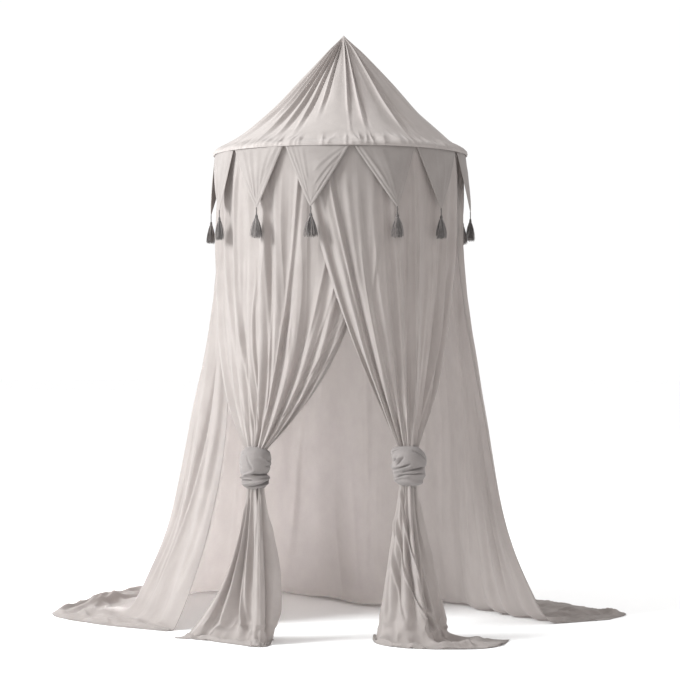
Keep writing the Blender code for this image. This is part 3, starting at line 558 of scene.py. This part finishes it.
def surface_normals(points):
    """Unit normals of a grid of points, towards the outside of a canopy drawn from left to right."""
    normal = np.cross(np.gradient(points, axis=0), np.gradient(points, axis=1))
    return normal / np.maximum(np.linalg.norm(normal, axis=2, keepdims=True), 1e-12)


def on_floor(edge, hem, row_count):
    """Plan of the rows that lie between a sheet's foot and its hem, and how far out each row is."""
    along = np.linspace(0, 1, row_count + 1)[1:, None]
    return along, edge[None] * (1 - along[..., None]) + hem[None] * along[..., None]


def bent_at_floor(hanging, lying, passes, reach):
    """Hanging and lying rows as one grid, smoothed along its columns within about reach rows of the bend."""
    points = np.concatenate([hanging, lying])
    weight = hump(np.arange(len(points)), len(hanging), reach)[:, None, None]
    for _ in range(passes):
        middle = points.copy()
        middle[1:-1] = 0.5 * (points[:-2] + points[2:])
        points = points + 0.6 * weight * (middle - points)
    return points


# ----- materials

THREAD_SCALE, SLUB_SCALE = 900, 45
CLOUD_SCALE, WEAVE_IN_TONE = 9.0, 0.35
TONE_START, TONE_END = 0.55, 1.0
WEAVE_BUMP, WEAVE_RELIEF = 0.25, 0.0006


def tuned(made, **inputs):
    """Sets inputs of a node, with _ for each space in a name."""
    for name, value in inputs.items():
        made.inputs[name.replace("_", " ")].default_value = value
    return made


def node(tree, kind, **inputs):
    return tuned(tree.nodes.new(kind), **inputs)


def maths(tree, operation):
    made = tree.nodes.new("ShaderNodeMath")
    made.operation = operation
    return made


def new_material(name):
    material = bpy.data.materials.new(name)
    material.use_nodes = True
    return material, material.node_tree


def cloth_material(name, light, dark, glow_colour, see_through):
    """Woven cotton: a little uneven in tone, with its threads in relief, and it lets some light through."""
    material, tree = new_material(name)
    tree.nodes.clear()
    link = tree.links.new
    place = node(tree, "ShaderNodeUVMap")
    cloudy = node(tree, "ShaderNodeTexNoise", Scale=CLOUD_SCALE, Detail=5.0, Roughness=0.6)
    link(place.outputs["UV"], cloudy.inputs["Vector"])
    weave = maths(tree, "ADD")
    for index, stretch in enumerate(((THREAD_SCALE, SLUB_SCALE, 1), (SLUB_SCALE, THREAD_SCALE, 1))):
        mapping = node(tree, "ShaderNodeMapping", Scale=stretch)
        threads = node(tree, "ShaderNodeTexNoise", Scale=1.0, Detail=2.0, Roughness=0.5)
        link(place.outputs["UV"], mapping.inputs["Vector"])
        link(mapping.outputs["Vector"], threads.inputs["Vector"])
        link(threads.outputs["Fac"], weave.inputs[index])
    tone = maths(tree, "MULTIPLY_ADD")
    tone.inputs[1].default_value = WEAVE_IN_TONE
    link(weave.outputs[0], tone.inputs[0])
    link(cloudy.outputs["Fac"], tone.inputs[2])
    shades = tree.nodes.new("ShaderNodeValToRGB")
    for stop, tone_at, colour in zip(shades.color_ramp.elements, (TONE_START, TONE_END), (dark, light)):
        stop.position = tone_at
        stop.color = (*colour, 1)
    link(tone.outputs[0], shades.inputs["Fac"])
    bump = node(tree, "ShaderNodeBump", Strength=WEAVE_BUMP, Distance=WEAVE_RELIEF)
    link(weave.outputs[0], bump.inputs["Height"])
    shader = node(
        tree, "ShaderNodeBsdfPrincipled",
        Roughness=0.92, Sheen_Weight=0.15, Sheen_Roughness=0.5, Specular_IOR_Level=0.2,
    )
    link(shades.outputs["Color"], shader.inputs["Base Color"])
    link(bump.outputs["Normal"], shader.inputs["Normal"])
    glow = node(tree, "ShaderNodeBsdfTranslucent", Color=(*glow_colour, 1))
    link(bump.outputs["Normal"], glow.inputs["Normal"])
    mix = node(tree, "ShaderNodeMixShader", Fac=see_through)
    out = tree.nodes.new("ShaderNodeOutputMaterial")
    link(shader.outputs[0], mix.inputs[1])
    link(glow.outputs[0], mix.inputs[2])
    link(mix.outputs[0], out.inputs["Surface"])
    return material


def yarn_material():
    """Dark yarn, its threads of uneven tone."""
    material, tree = new_material("Tassel yarn")
    shader = tuned(tree.nodes["Principled BSDF"], Roughness=0.85, Sheen_Weight=0.2)
    tint = tree.nodes.new("ShaderNodeVertexColor")
    tint.layer_name = "Tint"
    tree.links.new(tint.outputs["Color"], shader.inputs["Base Color"])
    return material


def plain_material(name, colour, roughness):
    material, tree = new_material(name)
    tuned(tree.nodes["Principled BSDF"], Base_Color=(*colour, 1), Roughness=roughness)
    return material


VOILE = cloth_material(
    "Voile", light=(0.395, 0.357, 0.34), dark=(0.325, 0.292, 0.276),
    glow_colour=(0.46, 0.418, 0.404), see_through=0.38,
)
# The knot is tied of the same voile. Its darker colour is painted shade; its lower see-through is the real
# effect of many layers.
SHADED_KNOT_VOILE = cloth_material(
    "Voile in many layers, painted shade", light=(0.235, 0.212, 0.204), dark=(0.185, 0.167, 0.16),
    glow_colour=(0.20, 0.18, 0.17), see_through=0.10,
)
# The roof is of the same voile. This copy lets less light through and is a little lighter in colour, so it
# reflects more: painted light.
LIT_ROOF_VOILE = cloth_material(
    "Roof voile, painted light", light=(0.40, 0.362, 0.345), dark=(0.33, 0.297, 0.281),
    glow_colour=(0.46, 0.418, 0.404), see_through=0.22,
)
PENNANT_VOILE = cloth_material(
    "Pennant voile", light=(0.335, 0.302, 0.287), dark=(0.27, 0.241, 0.229),
    glow_colour=(0.38, 0.345, 0.33), see_through=0.27,
)
YARN = yarn_material()
HOOP_STEEL = plain_material("Hoop steel", (0.80, 0.79, 0.77), 0.35)

# ----- ways of making a piece

LOWERED = np.array([-TIP_SHIFT, 0, -TOTAL_HEIGHT])
HEM_ROWS = ((0.02, 0.6), (0.3, 1.0), (1.0, 0.9))  # shares of a hem's width and of its gap, for each row


def placed(name, data):
    made = bpy.data.objects.new(name, data)
    bpy.context.scene.collection.objects.link(made)
    return made


class Sheet:
    """Grids of points gathered into one mesh, each with its place on the flat cloth in metres."""

    def __init__(self):
        self.points, self.flat, self.faces, self.kinds = [], [], [], []
        self.count = 0

    def add_grid(self, points, width, length, closed_round=False, kind=0):
        """Adds rows of points; kind is the number of their material in make's list."""
        rows, columns = points.shape[:2]
        spans = columns if closed_round else columns - 1
        first = np.arange(rows - 1)[:, None] * columns
        here, after = first + np.arange(spans), first + (np.arange(spans) + 1) % columns
        quads = np.stack([here, here + columns, after + columns, after], axis=-1).reshape(-1, 4)
        self.faces.append(quads + self.count)
        self.kinds.append(np.full(len(quads), kind, dtype=np.int32))
        self.points.append(points.reshape(-1, 3))
        across, down = np.meshgrid(np.linspace(0, width, columns), np.linspace(0, length, rows))
        self.flat.append(np.stack([across, down], axis=-1).reshape(-1, 2))
        self.count += rows * columns

    def make(self, name, materials, node_name, slot="voile"):
        points = np.concatenate(self.points) + LOWERED
        flat = np.concatenate(self.flat)
        mesh = bpy.data.meshes.new(name)
        mesh.from_pydata(points.tolist(), [], np.concatenate(self.faces).tolist())
        layer = mesh.uv_layers.new(name="UVMap")
        corners = np.zeros(len(mesh.loops), dtype=np.int32)
        mesh.loops.foreach_get("vertex_index", corners)
        layer.data.foreach_set("uv", flat[corners].astype(np.float32).ravel())
        mesh.validate()
        mesh.shade_smooth()
        for material in materials:
            mesh.materials.append(material)
        mesh.polygons.foreach_set("material_index", np.concatenate(self.kinds))
        piece = placed(name, mesh)
        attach(piece, "root")
        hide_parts(node_name)
        return piece


def with_hem(points, side, width, gap, normals):
    """The grid with a turned hem along one side: "foot", "left" or "right"."""
    if side == "foot":
        turned = with_hem(np.swapaxes(points, 0, 1), "right", width, gap, np.swapaxes(normals, 0, 1))
        return np.swapaxes(turned, 0, 1)
    if side == "left":
        return with_hem(points[:, ::-1], "right", width, gap, normals[:, ::-1])[:, ::-1]
    edge, normal = points[:, -1], normals[:, -1]
    back_by = np.linalg.norm(points[:, ::-1] - edge[:, None], axis=2)
    turned = []
    for share, depth in HEM_ROWS:
        column = np.stack([
            [np.interp(share * width, distance, line[::-1, axis]) for axis in range(3)]
            for distance, line in zip(back_by, points)
        ])
        turned.append(column - gap * depth * normal)
    return np.concatenate([points, np.stack(turned, axis=1)], axis=1)


def hemmed(points, sides, width, gap):
    for side in sides:
        points = with_hem(points, side, width, gap, surface_normals(points))
    return points


# ----- roof

PLEAT_SHARE = 0.7  # how much of the solid's pleats the cloth shows
LIP_FROM = 0.62  # the last third of the rows lies below this share


def pleat_rise(degrees, slope_share):
    """How far the roof's pleats stand out: each has a crisp crest and a hollow beside it."""
    rise = 0
    for pleat in ROOF_PLEATS:
        off = (degrees - pleat.at + 180) % 360 - 180
        faded = ramp(slope_share, 0.01, 0.16) * (1 - ramp(slope_share, pleat.reach - 0.3, pleat.reach))
        crest = 0.45 * hump(off, 0, pleat.spread) + 0.75 * hump(off, 0, 0.30 * pleat.spread)
        around = 0.45 * hump(off, 0, 2.2 * pleat.spread)
        hollow = 0.65 * hump(off, 0.85 * pleat.spread, 0.38 * pleat.spread)
        rise = rise + pleat.height * (crest - around - hollow) * faded
    return rise


def roof_points(columns, rows):
    degrees = np.arange(columns) * 360 / columns
    lip_rows = rows // 3
    down = np.concatenate([
        np.linspace(0, LIP_FROM, rows - lip_rows, endpoint=False), np.linspace(LIP_FROM, 1, lip_rows)
    ])
    side = np.sin(np.radians(degrees))[None, :]
    drop, radius, sway = (from_table(ROOF_RINGS, field, down)[:, None] for field in Ring._fields)
    radius = radius + sway * side * np.abs(side)
    slope = drop / ROOF_RINGS[-1].drop
    turn = (degrees / 360)[None, :]
    out = PLEAT_SHARE * pleat_rise(degrees[None, :], slope)
    out = out + ROOF_WAVE * noise(turn, slope, 26, 3, 5, closed=True) * ramp(slope, 0.1, 0.4)
    wrinkles = ROOF_WRINKLE * creased(turn, slope, 90, 3, 6, closed=True)
    out = out + wrinkles * (1 - ramp(slope, 0.3, 0.75)) * ramp(slope, 0.02, 0.1)
    puckers = creased(turn, slope, 210, 9, 7, closed=True) + 0.6 * noise(turn, slope, 120, 7, 8, closed=True)
    out = out + SEAM_PUCKER * puckers * hump(slope, 0.955, 0.045)
    out = out + LIP_BAND * (ramp(slope, 0.945, 0.955) * (1 - 0.6 * ramp(slope, 0.985, 1.0)))
    seam = hump(degrees, FIRST_JUNCTION, 0.9)[None, :] * ramp(slope, 0.1, 0.3)
    out = out + PANEL_SEAM * seam * (0.5 + 0.5 * noise(turn, slope, 4, 60, 9, closed=True))
    plan = on_circle(radius + out, degrees[None, :])
    plan[..., 0] += TIP_SHIFT * (1 - np.minimum(1, drop / ROOF_RINGS[-3].drop))
    return np.dstack([plan, TOTAL_HEIGHT - drop + out * (1 - ramp(slope, 0.93, 0.98))])


# ----- back and side sheet


def back_points(columns, hanging_rows, train_rows):
    shares = np.linspace(0, 1, columns)
    hoop_angle = from_table(BACK_SECTIONS, "hoop", shares)
    middle, foot, hem = (
        from_table(BACK_SECTIONS, fields, shares)
        for fields in ("mid_x mid_y", "foot_x foot_y", "hem_x hem_y")
    )
    paths = []
    for station in BACK_STATIONS:
        swell = SWELL * ramp(CURTAIN_TOP - station.height, 0, SWELL_DROP)
        above = on_circle(BACK_TOP_RADIUS + swell, hoop_angle)
        paths.append(above + station.to_middle * (middle - above) + station.to_foot * (foot - middle))

    down = np.linspace(0, 1, hanging_rows)
    heights = CURTAIN_TOP * (1 - down**1.15)
    going_down = [-station.height for station in BACK_STATIONS]
    hanging = through(going_down, np.reshape(paths, (len(paths), -1)), -heights)
    hanging = hanging.reshape(hanging_rows, -1, 2)

    wave = fold_wave(BACK_FOLDS, shares)[None, :]
    fallen = (CURTAIN_TOP - heights)[:, None]
    landing = ramp(heights, 0, BACK_BEND)[:, None]
    depth = SEAM_FOLD + BACK_FOLD_DEPTH * ramp(fallen, 0, 0.55) ** 0.7
    tucked = ramp(hoop_angle, 262, 272)[None, :] * (1 - ramp(fallen, 0.95, 1.3))  # behind the left curtain
    out = 0.5 * depth * (wave - tucked) * (1 - 0.4 * tucked) * (0.35 + 0.65 * landing)

    across, fall = shares[None, :], down[:, None]
    free = ramp(fallen, 0.02, 0.5) * (1 - 0.5 * tucked)
    out = out + BACK_WAVE * noise(across, fall, 44, 4, 31) * free
    out = out + BACK_WRINKLE * creased(across, fall, 70, 5, 32) * free
    out = out + BACK_GRAIN * noise(across, fall, 110, 26, 33) * free
    out = out + BACK_PUCKER * creased(across, fall, 230, 16, 34) * np.exp(-fallen / 0.05)
    out = out + crease_rise(BACK_CREASES, across, fall, -1) * (0.2 + 0.8 * landing) * (1 - 0.5 * tucked)
    hanging = hanging + plan_normals(hanging) * out[..., None]

    ridge = 0.5 * TRAIN_FOLD_DEPTH * (wave + 1)
    upper = np.dstack([hanging, (SHEET_REST + ridge) * (1 - landing) + heights[:, None]])

    along, lying = on_floor(hanging[-1], hem, train_rows)
    rise = ridge * (1 - 0.75 * along) + TRAIN_RIPPLE * np.sin(9 * along) * np.sin(40 * shares + 5 * along)
    crumple = TRAIN_RUMPLE * creased(across, along, 100, 10, 35)
    crumple = crumple + TRAIN_WAVE * noise(across, along, 60, 7, 36)
    rise = rise + roll_rise(TRAIN_ROLLS, across, along) + crumple * ramp(along, 0.05, 0.5)
    rise = SHEET_REST + np.maximum(rise * (1 - 0.75 * ramp(along, 0.84, 1.0)), 0)
    return bent_at_floor(upper, np.dstack([lying, rise]), passes=26, reach=9.0)


# ----- front curtains


def curtain_points(curtain, columns, row_count):
    shares = np.linspace(0, 1, columns)[None, :]
    steps = np.linspace(0, 1, row_count)
    down = (1 - (1 - steps) ** 1.35)[:, None]
    side = math.copysign(1, curtain.outer)
    angles = curtain.outer + (curtain.leading - curtain.outer) * shares
    own_end = LEFT_CURTAIN.leading if side > 0 else -RIGHT_CURTAIN.leading
    crossing = ramp(-side * angles, -own_end - CROSSING_BLEND, -own_end)

    neck_height = curtain.knot_height + curtain.knot_tall / 2 - NECK_DEPTH
    heights = CURTAIN_TOP + (neck_height - CURTAIN_TOP) * down
    fallen = CURTAIN_TOP - heights
    late = curtain.outer_late + (curtain.leading_late - curtain.outer_late) * shares

    top = on_circle(curtain.top_radius + SWELL * ramp(fallen, 0, SWELL_DROP), angles)
    neck = on_circle(NECK_RADIUS, side * NECK_OPENING * (1 - 2 * shares)) + (curtain.knot_x, curtain.knot_y)
    plan = top + (neck - top) * (down**late)[..., None]
    layer = curtain.crossing * crossing * ramp(fallen, 0.03, 0.40) * (1 - ramp(down, 0.7, 0.95))
    plan[..., 1] -= CROSSING_PART * layer

    normals = plan_normals(plan) * -side
    depth = fold_depth(curtain, plan, shares, curtain.folds, FOLD_SHARE)
    depth = depth * (0.10 + 0.90 * ramp(fallen, 0.0, 0.45) ** 0.8)
    calm = 1 - 0.45 * crossing * (1 - ramp(fallen, 0.35, 0.9))
    narrow = ramp(down, 0.80, 1.0)
    depth = depth * calm * (1 - narrow) + NECK_FOLD * narrow
    bias = curtain.crossing * crossing * (1 - ramp(down, 0.6, 0.9))
    bias = bias + (1 - ramp(shares, 0, 0.12)) * (1 - narrow)
    out = depth * (fold_wave(curtain.folds, shares) + bias)

    seed = curtain.seed
    free = ramp(fallen, 0.02, 0.4) * calm
    out = out + FRONT_WAVE * noise(shares, down, 32, 3, seed) * free * (1 - 0.6 * narrow)
    out = out + FRONT_WRINKLE * creased(shares, down, 48, 4, seed + 1) * free
    out = out + FRONT_GRAIN * noise(shares, down, 60, 30, seed + 2) * free
    out = out + FRONT_PUCKER * creased(shares, down, 120, 12, seed + 3) * np.exp(-fallen / 0.05)
    out = out + crease_rise(curtain.creases, shares, down, -side) * (1 - 0.5 * narrow)
    plan = plan + normals * out[..., None]
    return np.dstack([plan, heights + 0 * shares])


def tail_points(curtain, columns, hanging_rows, floor_rows):
    shares = np.linspace(0, 1, columns)
    place = [strip.share for strip in curtain.tail]
    foot, hem, late, swing = (
        from_table(curtain.tail, fields, shares, place)
        for fields in ("foot_x foot_y", "hem_x hem_y", "late", "swing")
    )
    start = curtain.knot_height - curtain.knot_tall / 2 + NECK_DEPTH
    ring = on_circle(NECK_RADIUS, NECK_OPENING * (2 * shares - 1)) + (curtain.knot_x, curtain.knot_y)
    down = np.linspace(0, 1, hanging_rows)[:, None]
    heights = start * (1 - down)
    plan = ring[None] + (foot - ring)[None] * (down ** late[None, :])[..., None]
    plan[..., 0] += swing[None, :] * 6.75 * down**2 * (1 - down)  # 6.75: at most the whole swing

    wave = fold_wave(curtain.tail_folds, shares)[None, :]
    full = fold_depth(curtain, plan, shares, curtain.tail_folds, TAIL_FOLD_SHARE)
    depth = NECK_FOLD + (full - NECK_FOLD) * ramp(down, 0.05, 0.6)
    landing = ramp(heights, 0.0, 0.09)
    out = depth * wave * (0.3 + 0.7 * landing)

    seed = curtain.seed + 40
    across = shares[None, :]
    out = out + TAIL_WRINKLE * creased(across, down, 26, 3, seed) * ramp(down, 0.0, 0.25)
    out = out + TAIL_GRAIN * noise(across, down, 40, 16, seed + 1) * ramp(down, 0.1, 0.4)
    out = out + FOOT_RUMPLE * creased(across, down, 24, 22, seed + 3) * ramp(down, 0.78, 0.95)
    out = out + crease_rise(curtain.tail_creases, across, down, 1) * (0.3 + 0.7 * landing)
    hanging = plan + plan_normals(plan) * out[..., None]
    upper = np.dstack([hanging, SHEET_REST + FLOOR_FOLD * (1 + wave) * (1 - landing) + heights])

    along, lying = on_floor(hanging[-1], hem, floor_rows)
    crumple = FLOOR_RUMPLE * creased(across, along, 26, 5, seed + 2) * (0.4 + 0.6 * along)
    rise = FLOOR_FOLD * (1 + wave) * (1 - 0.8 * along) + crumple
    rise = SHEET_REST + np.maximum(rise + roll_rise(curtain.tail_rolls, across, along), 0)
    return bent_at_floor(upper, np.dstack([lying, rise]), passes=20, reach=5.0)


def knot_points(curtain, around, rings):
    """Closed lump of a tied knot, with the folds and tucks of the cloth wound round it."""
    share = np.linspace(0, 1, rings)[:, None]
    degrees = (np.arange(around) * 360 / around)[None, :]
    girth_heights = [girth.height for girth in curtain.girths]
    width = from_table(curtain.girths, "width", share[:, 0], girth_heights)[:, None]
    rounded = np.sqrt(np.maximum(1 - (2 * share - 1) ** 6, 0))
    relief = 0
    for tuck in curtain.tucks:
        along = ((degrees - tuck.start) % 360) / ((tuck.end - tuck.start) % 360)
        bowed = 4 * tuck.bow * along * (1 - along)
        middle = tuck.start_height + (tuck.end_height - tuck.start_height) * along + bowed
        faded = ramp(along, 0, 0.2) * (1 - ramp(along, 0.8, 1.0))
        relief = relief + tuck.out * hump(share, middle, tuck.half) * faded
    turn = degrees / 360
    relief = relief + KNOT_WAVE * noise(turn, share, 5, 4, curtain.seed + 60, closed=True)
    relief = relief + KNOT_WRINKLE * creased(turn, share, 9, 9, curtain.seed + 61, closed=True)
    radius = (width * curtain.knot_width / 2 + KNOT_EASE) * rounded + relief * np.sin(np.pi * share) ** 0.4
    radius = np.maximum(radius, KNOT_END_RADIUS)
    plan = on_circle(radius, degrees) * (1, KNOT_DEPTH) + (curtain.knot_x, curtain.knot_y)
    tilt = curtain.knot_slant * (plan[..., 0] - curtain.knot_x) * np.sin(np.pi * share)
    height = curtain.knot_height + (share - 0.5) * curtain.knot_tall + tilt
    return np.dstack([plan, height])[::-1]


def make_front(name, curtain, node_name):
    upper = curtain_points(curtain, columns=331, row_count=170)
    if curtain.outer > 0:
        upper = upper[:, ::-1]
    upper = hemmed(upper, ("left", "right"), width=0.016, gap=HEM_GAP)
    knot = knot_points(curtain, around=130, rings=100)
    tail = tail_points(curtain, columns=201, hanging_rows=104, floor_rows=20)
    tail = hemmed(tail, ("left", "right"), width=0.016, gap=HEM_GAP)
    tail = hemmed(tail, ("foot",), width=0.022, gap=HEM_GAP)
    sheet = Sheet()
    sheet.add_grid(upper, width=curtain.cloth_width, length=1.15)
    sheet.add_grid(knot, width=0.38, length=0.2, closed_round=True, kind=1)
    sheet.add_grid(tail, width=curtain.cloth_width, length=0.75)
    piece = sheet.make(name, [VOILE, SHADED_KNOT_VOILE], node_name)


# ----- pennants and tassels

CORD_LENGTH, CORD_RADIUS, CORD_BEND, CORD_TINT = 0.03, 0.0026, 0.0006, 0.085
COLLAR_TURNS, COLLAR_TOP, COLLAR_STEP, COLLAR_TINT = 5, 0.029, 0.0022, 0.075
COLLAR_RADIUS, COLLAR_SWELL, COLLAR_YARN = 0.0036, 0.0006, 0.0014
THREADS, THREAD_LENGTH, THREAD_RADIUS, THREAD_BEND = 150, 0.084, 0.001, 0.0022
SKIRT_TOP, SKIRT_NECK, SKIRT_RADIUS = 0.037, 0.004, 0.0265
DARKEST_TINT, TINT_RANGE = 0.05, 0.28
EDGE_THICK, PENNANT_THICK = 0.00035, 0.0009
TASSEL_DEPTH = 0.72  # a tassel's depth as a share of its width


def pennant_middle(number):
    return FIRST_JUNCTION + (number + 0.5) * PENNANT_PITCH


def pennant_points(number, rows, columns):
    """Both layers of a pennant as one closed round of columns, folded at its two long edges."""
    hang = PENNANT_HANG[number]
    down = np.linspace(0, 1, rows)[:, None]
    half = columns // 2
    front = np.sin(np.linspace(-np.pi / 2, np.pi / 2, half))
    across = np.concatenate([front, front[::-1]])[None, :]
    face = np.concatenate([np.ones(half), -np.ones(half)])[None, :]
    radius = PENNANT_RADIUS + PENNANT_FLARE * down + hang.belly * 4 * down * (1 - down) * (1 - across**2)
    half_top = math.radians(PENNANT_PITCH / 2) * PENNANT_RADIUS - PENNANT_GAP
    half_width = half_top * (1 - down) ** 0.94 + PENNANT_POINT * down
    from_edge = (1 - np.abs(across)) * half_width
    seed = 100 + 7 * number
    place = 0.5 + 0.5 * across
    soft = PENNANT_WAVE * noise(place, down, 3, 3, seed)
    soft = soft + PENNANT_WRINKLE * noise(place, down, 9, 7, seed + 1)
    gathers = PENNANT_GATHER * creased(place, down, 16, 5, seed + 2) * np.exp(-down / 0.08)
    rim = PENNANT_RIM * hump(from_edge, 0.006, 0.004) - PENNANT_STITCH * hump(from_edge, 0.014, 0.0022)
    inside = ramp(from_edge, 0, 0.004)
    thick = EDGE_THICK + PENNANT_THICK * inside + rim * inside
    folds = crease_rise(PENNANT_CREASES.get(number, []), across, down, 1)
    radius = radius + (soft + gathers + folds) * ramp(from_edge, 0, 0.03) + face * thick
    degrees = pennant_middle(number) + hang.lean * down + np.degrees(across * half_width / radius)
    heights = PENNANT_TOP - PENNANT_DROP * down + 0 * across
    return np.dstack([on_circle(radius, degrees), heights])


def make_pennant(number):
    sheet = Sheet()
    cloth = pennant_points(number, rows=52, columns=96)
    sheet.add_grid(cloth, width=0.52, length=0.24, closed_round=True)
    count = f"{number + 1:02d}"
    piece = sheet.make(f"pennant_cloth_{count}", [PENNANT_VOILE], f"pennant_{count}", "pennant")


def tube(path, radius, sides):
    """Rings of points round a path, as a grid in rows along it."""
    path = np.asarray(path, float)
    along = np.gradient(path, axis=0)
    along /= np.maximum(np.linalg.norm(along, axis=1, keepdims=True), 1e-9)
    aside = np.cross(along, (0.3, 0.8, 0.1))
    aside /= np.linalg.norm(aside, axis=1, keepdims=True)
    other = np.cross(along, aside)
    turn = (np.arange(sides) * 2 * np.pi / sides)[:, None]
    radius = np.broadcast_to(radius, len(path))[:, None, None]
    return path[:, None] + radius * (np.cos(turn) * aside[:, None] + np.sin(turn) * other[:, None])


def make_tassel(number):
    """A tassel: cord, wound collar and threads, turned to face away from the cloth behind it."""
    rng = np.random.default_rng(500 + number)
    degrees = pennant_middle(number) + PENNANT_HANG[number].lean
    x, y = on_circle(PENNANT_RADIUS + PENNANT_FLARE, degrees)
    top = np.array([x, y, PENNANT_TOP - PENNANT_DROP - TASSEL_GAP])
    turn = math.radians(degrees)
    cosine, sine = math.cos(turn), math.sin(turn)
    facing = np.array([[cosine, sine, 0], [-sine, cosine, 0], [0, 0, 1]])
    sheet, tints = Sheet(), []

    def add(grid, tint):
        turned = (grid * (1, TASSEL_DEPTH, 1)) @ facing
        sheet.add_grid(turned + top, width=0.01, length=0.1, closed_round=True)
        tints.append(np.full(grid.shape[0] * grid.shape[1], tint))

    heights = np.linspace(0, -CORD_LENGTH, 10)
    cord = np.stack([CORD_BEND * np.sin(heights * 400), 0 * heights, heights], axis=1)
    add(tube(cord, CORD_RADIUS, 7), CORD_TINT)
    angle = np.linspace(0, 2 * np.pi, 15)
    for ring in range(COLLAR_TURNS):
        size = COLLAR_RADIUS + COLLAR_SWELL * ring
        height = 0 * angle - COLLAR_TOP - COLLAR_STEP * ring
        around = np.stack([size * np.cos(angle), size * np.sin(angle), height], axis=1)
        add(tube(around, COLLAR_YARN, 5), COLLAR_TINT)
    steps = np.linspace(0, 1, 8)
    for _ in range(THREADS):
        angle, reach = rng.uniform(0, 2 * np.pi), math.sqrt(rng.uniform(0.02, 1))
        spread = SKIRT_RADIUS * reach * rng.uniform(0.9, 1.08)
        length = THREAD_LENGTH * rng.uniform(0.86, 1.02)
        out = SKIRT_NECK * reach + (spread - SKIRT_NECK * reach) * (1 - (1 - steps) ** 1.7) ** 0.95
        bend = THREAD_BEND * rng.normal() * np.sin(np.pi * steps)
        path = np.stack([
            out * math.cos(angle) - bend * math.sin(angle),
            out * math.sin(angle) + bend * math.cos(angle),
            -SKIRT_TOP - length * steps * (1 - 0.06 * reach),
        ], axis=1)
        tint = DARKEST_TINT + TINT_RANGE * rng.uniform() ** 2
        add(tube(path, THREAD_RADIUS * np.linspace(1, 0.7, 8), 3), tint)
    count = f"{number + 1:02d}"
    piece = sheet.make(f"tassel_threads_{count}", [YARN], f"tassel_{count}", "tassel")
    shade = np.concatenate(tints)
    colour = np.stack([shade, 0.88 * shade, 0.84 * shade, np.ones(len(shade))], axis=1)
    layer = piece.data.color_attributes.new("Tint", "FLOAT_COLOR", "POINT")
    layer.data.foreach_set("color", colour.astype(np.float32).ravel())


# ----- the canopy

roof = Sheet()
roof.add_grid(roof_points(columns=900, rows=96), width=3.3, length=0.75, closed_round=True)
roof_piece = roof.make("roof_cloth", [LIT_ROOF_VOILE], "roof")

back_grid = back_points(columns=450, hanging_rows=140, train_rows=58)
back_grid = hemmed(back_grid, ("left", "right"), width=0.02, gap=BACK_HEM_GAP)
back_grid = hemmed(back_grid, ("foot",), width=0.025, gap=TRAIN_HEM_GAP)
back = Sheet()
back.add_grid(back_grid, width=4.2, length=2.4)
back_piece = back.make("back_cloth", [VOILE], "curtain_back")

make_front("left_cloth", LEFT_CURTAIN, "curtain_left")
make_front("right_cloth", RIGHT_CURTAIN, "curtain_right")
for number in range(PENNANTS):
    make_pennant(number)
    make_tassel(number)

for item in bpy.data.objects:
    if item.get("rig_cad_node") == "hoop":
        item.data.materials.clear()
        item.data.materials.append(HOOP_STEEL)

# ----- floor, light and camera

CAMERA_BACK, CAMERA_HEIGHT, CAMERA_TILT = 7.3, 1.235, 0.63

floor_mesh = bpy.data.meshes.new("floor")
floor_mesh.from_pydata([(-30, -30, 0), (30, -30, 0), (30, 30, 0), (-30, 30, 0)], [], [(0, 1, 2, 3)])
floor_mesh.materials.append(plain_material("Floor", (0.98, 0.98, 0.98), 0.9))
floor = placed("floor", floor_mesh)
floor.location.z = -TOTAL_HEIGHT

world = bpy.data.worlds.new("Studio")
world.use_nodes = True
tuned(world.node_tree.nodes["Background"], Color=(1, 1, 1, 1), Strength=1.02)
bpy.context.scene.world = world
bpy.context.scene.view_settings.view_transform = "Standard"


def area_light(name, place, target, size, watts, colour, spread=180):
    light = bpy.data.lights.new(name, "AREA")
    light.shape = "DISK"
    light.size = size
    light.energy = watts
    light.color = colour
    light.spread = math.radians(spread)
    lamp = placed(name, light)
    lamp.location = place
    lamp.rotation_euler = (Vector(target) - Vector(place)).to_track_quat("-Z", "Y").to_euler()


area_light("key", (-4.7, -2.0, 1.3), (0, 0, -1.0), 2.2, 560, (0.945, 0.985, 1.0))
area_light("glow", (-2.6, 4.6, -0.2), (-0.1, 0.3, -1.2), 2.4, 60, (1.0, 0.98, 0.97))
area_light("rear", (-1.6, 4.9, -1.5), (-0.90, 0.60, -2.10), 1.6, 13, (1.0, 0.99, 0.98), spread=21)

camera_data = bpy.data.cameras.new("Camera")
camera_data.sensor_width = 36.0
camera_data.lens = 95.1
camera = placed("Camera", camera_data)
camera.location = (-TIP_SHIFT, -CAMERA_BACK, CAMERA_HEIGHT - TOTAL_HEIGHT)
camera.rotation_euler = (math.radians(90 - CAMERA_TILT), 0, 0)
bpy.context.scene.camera = camera
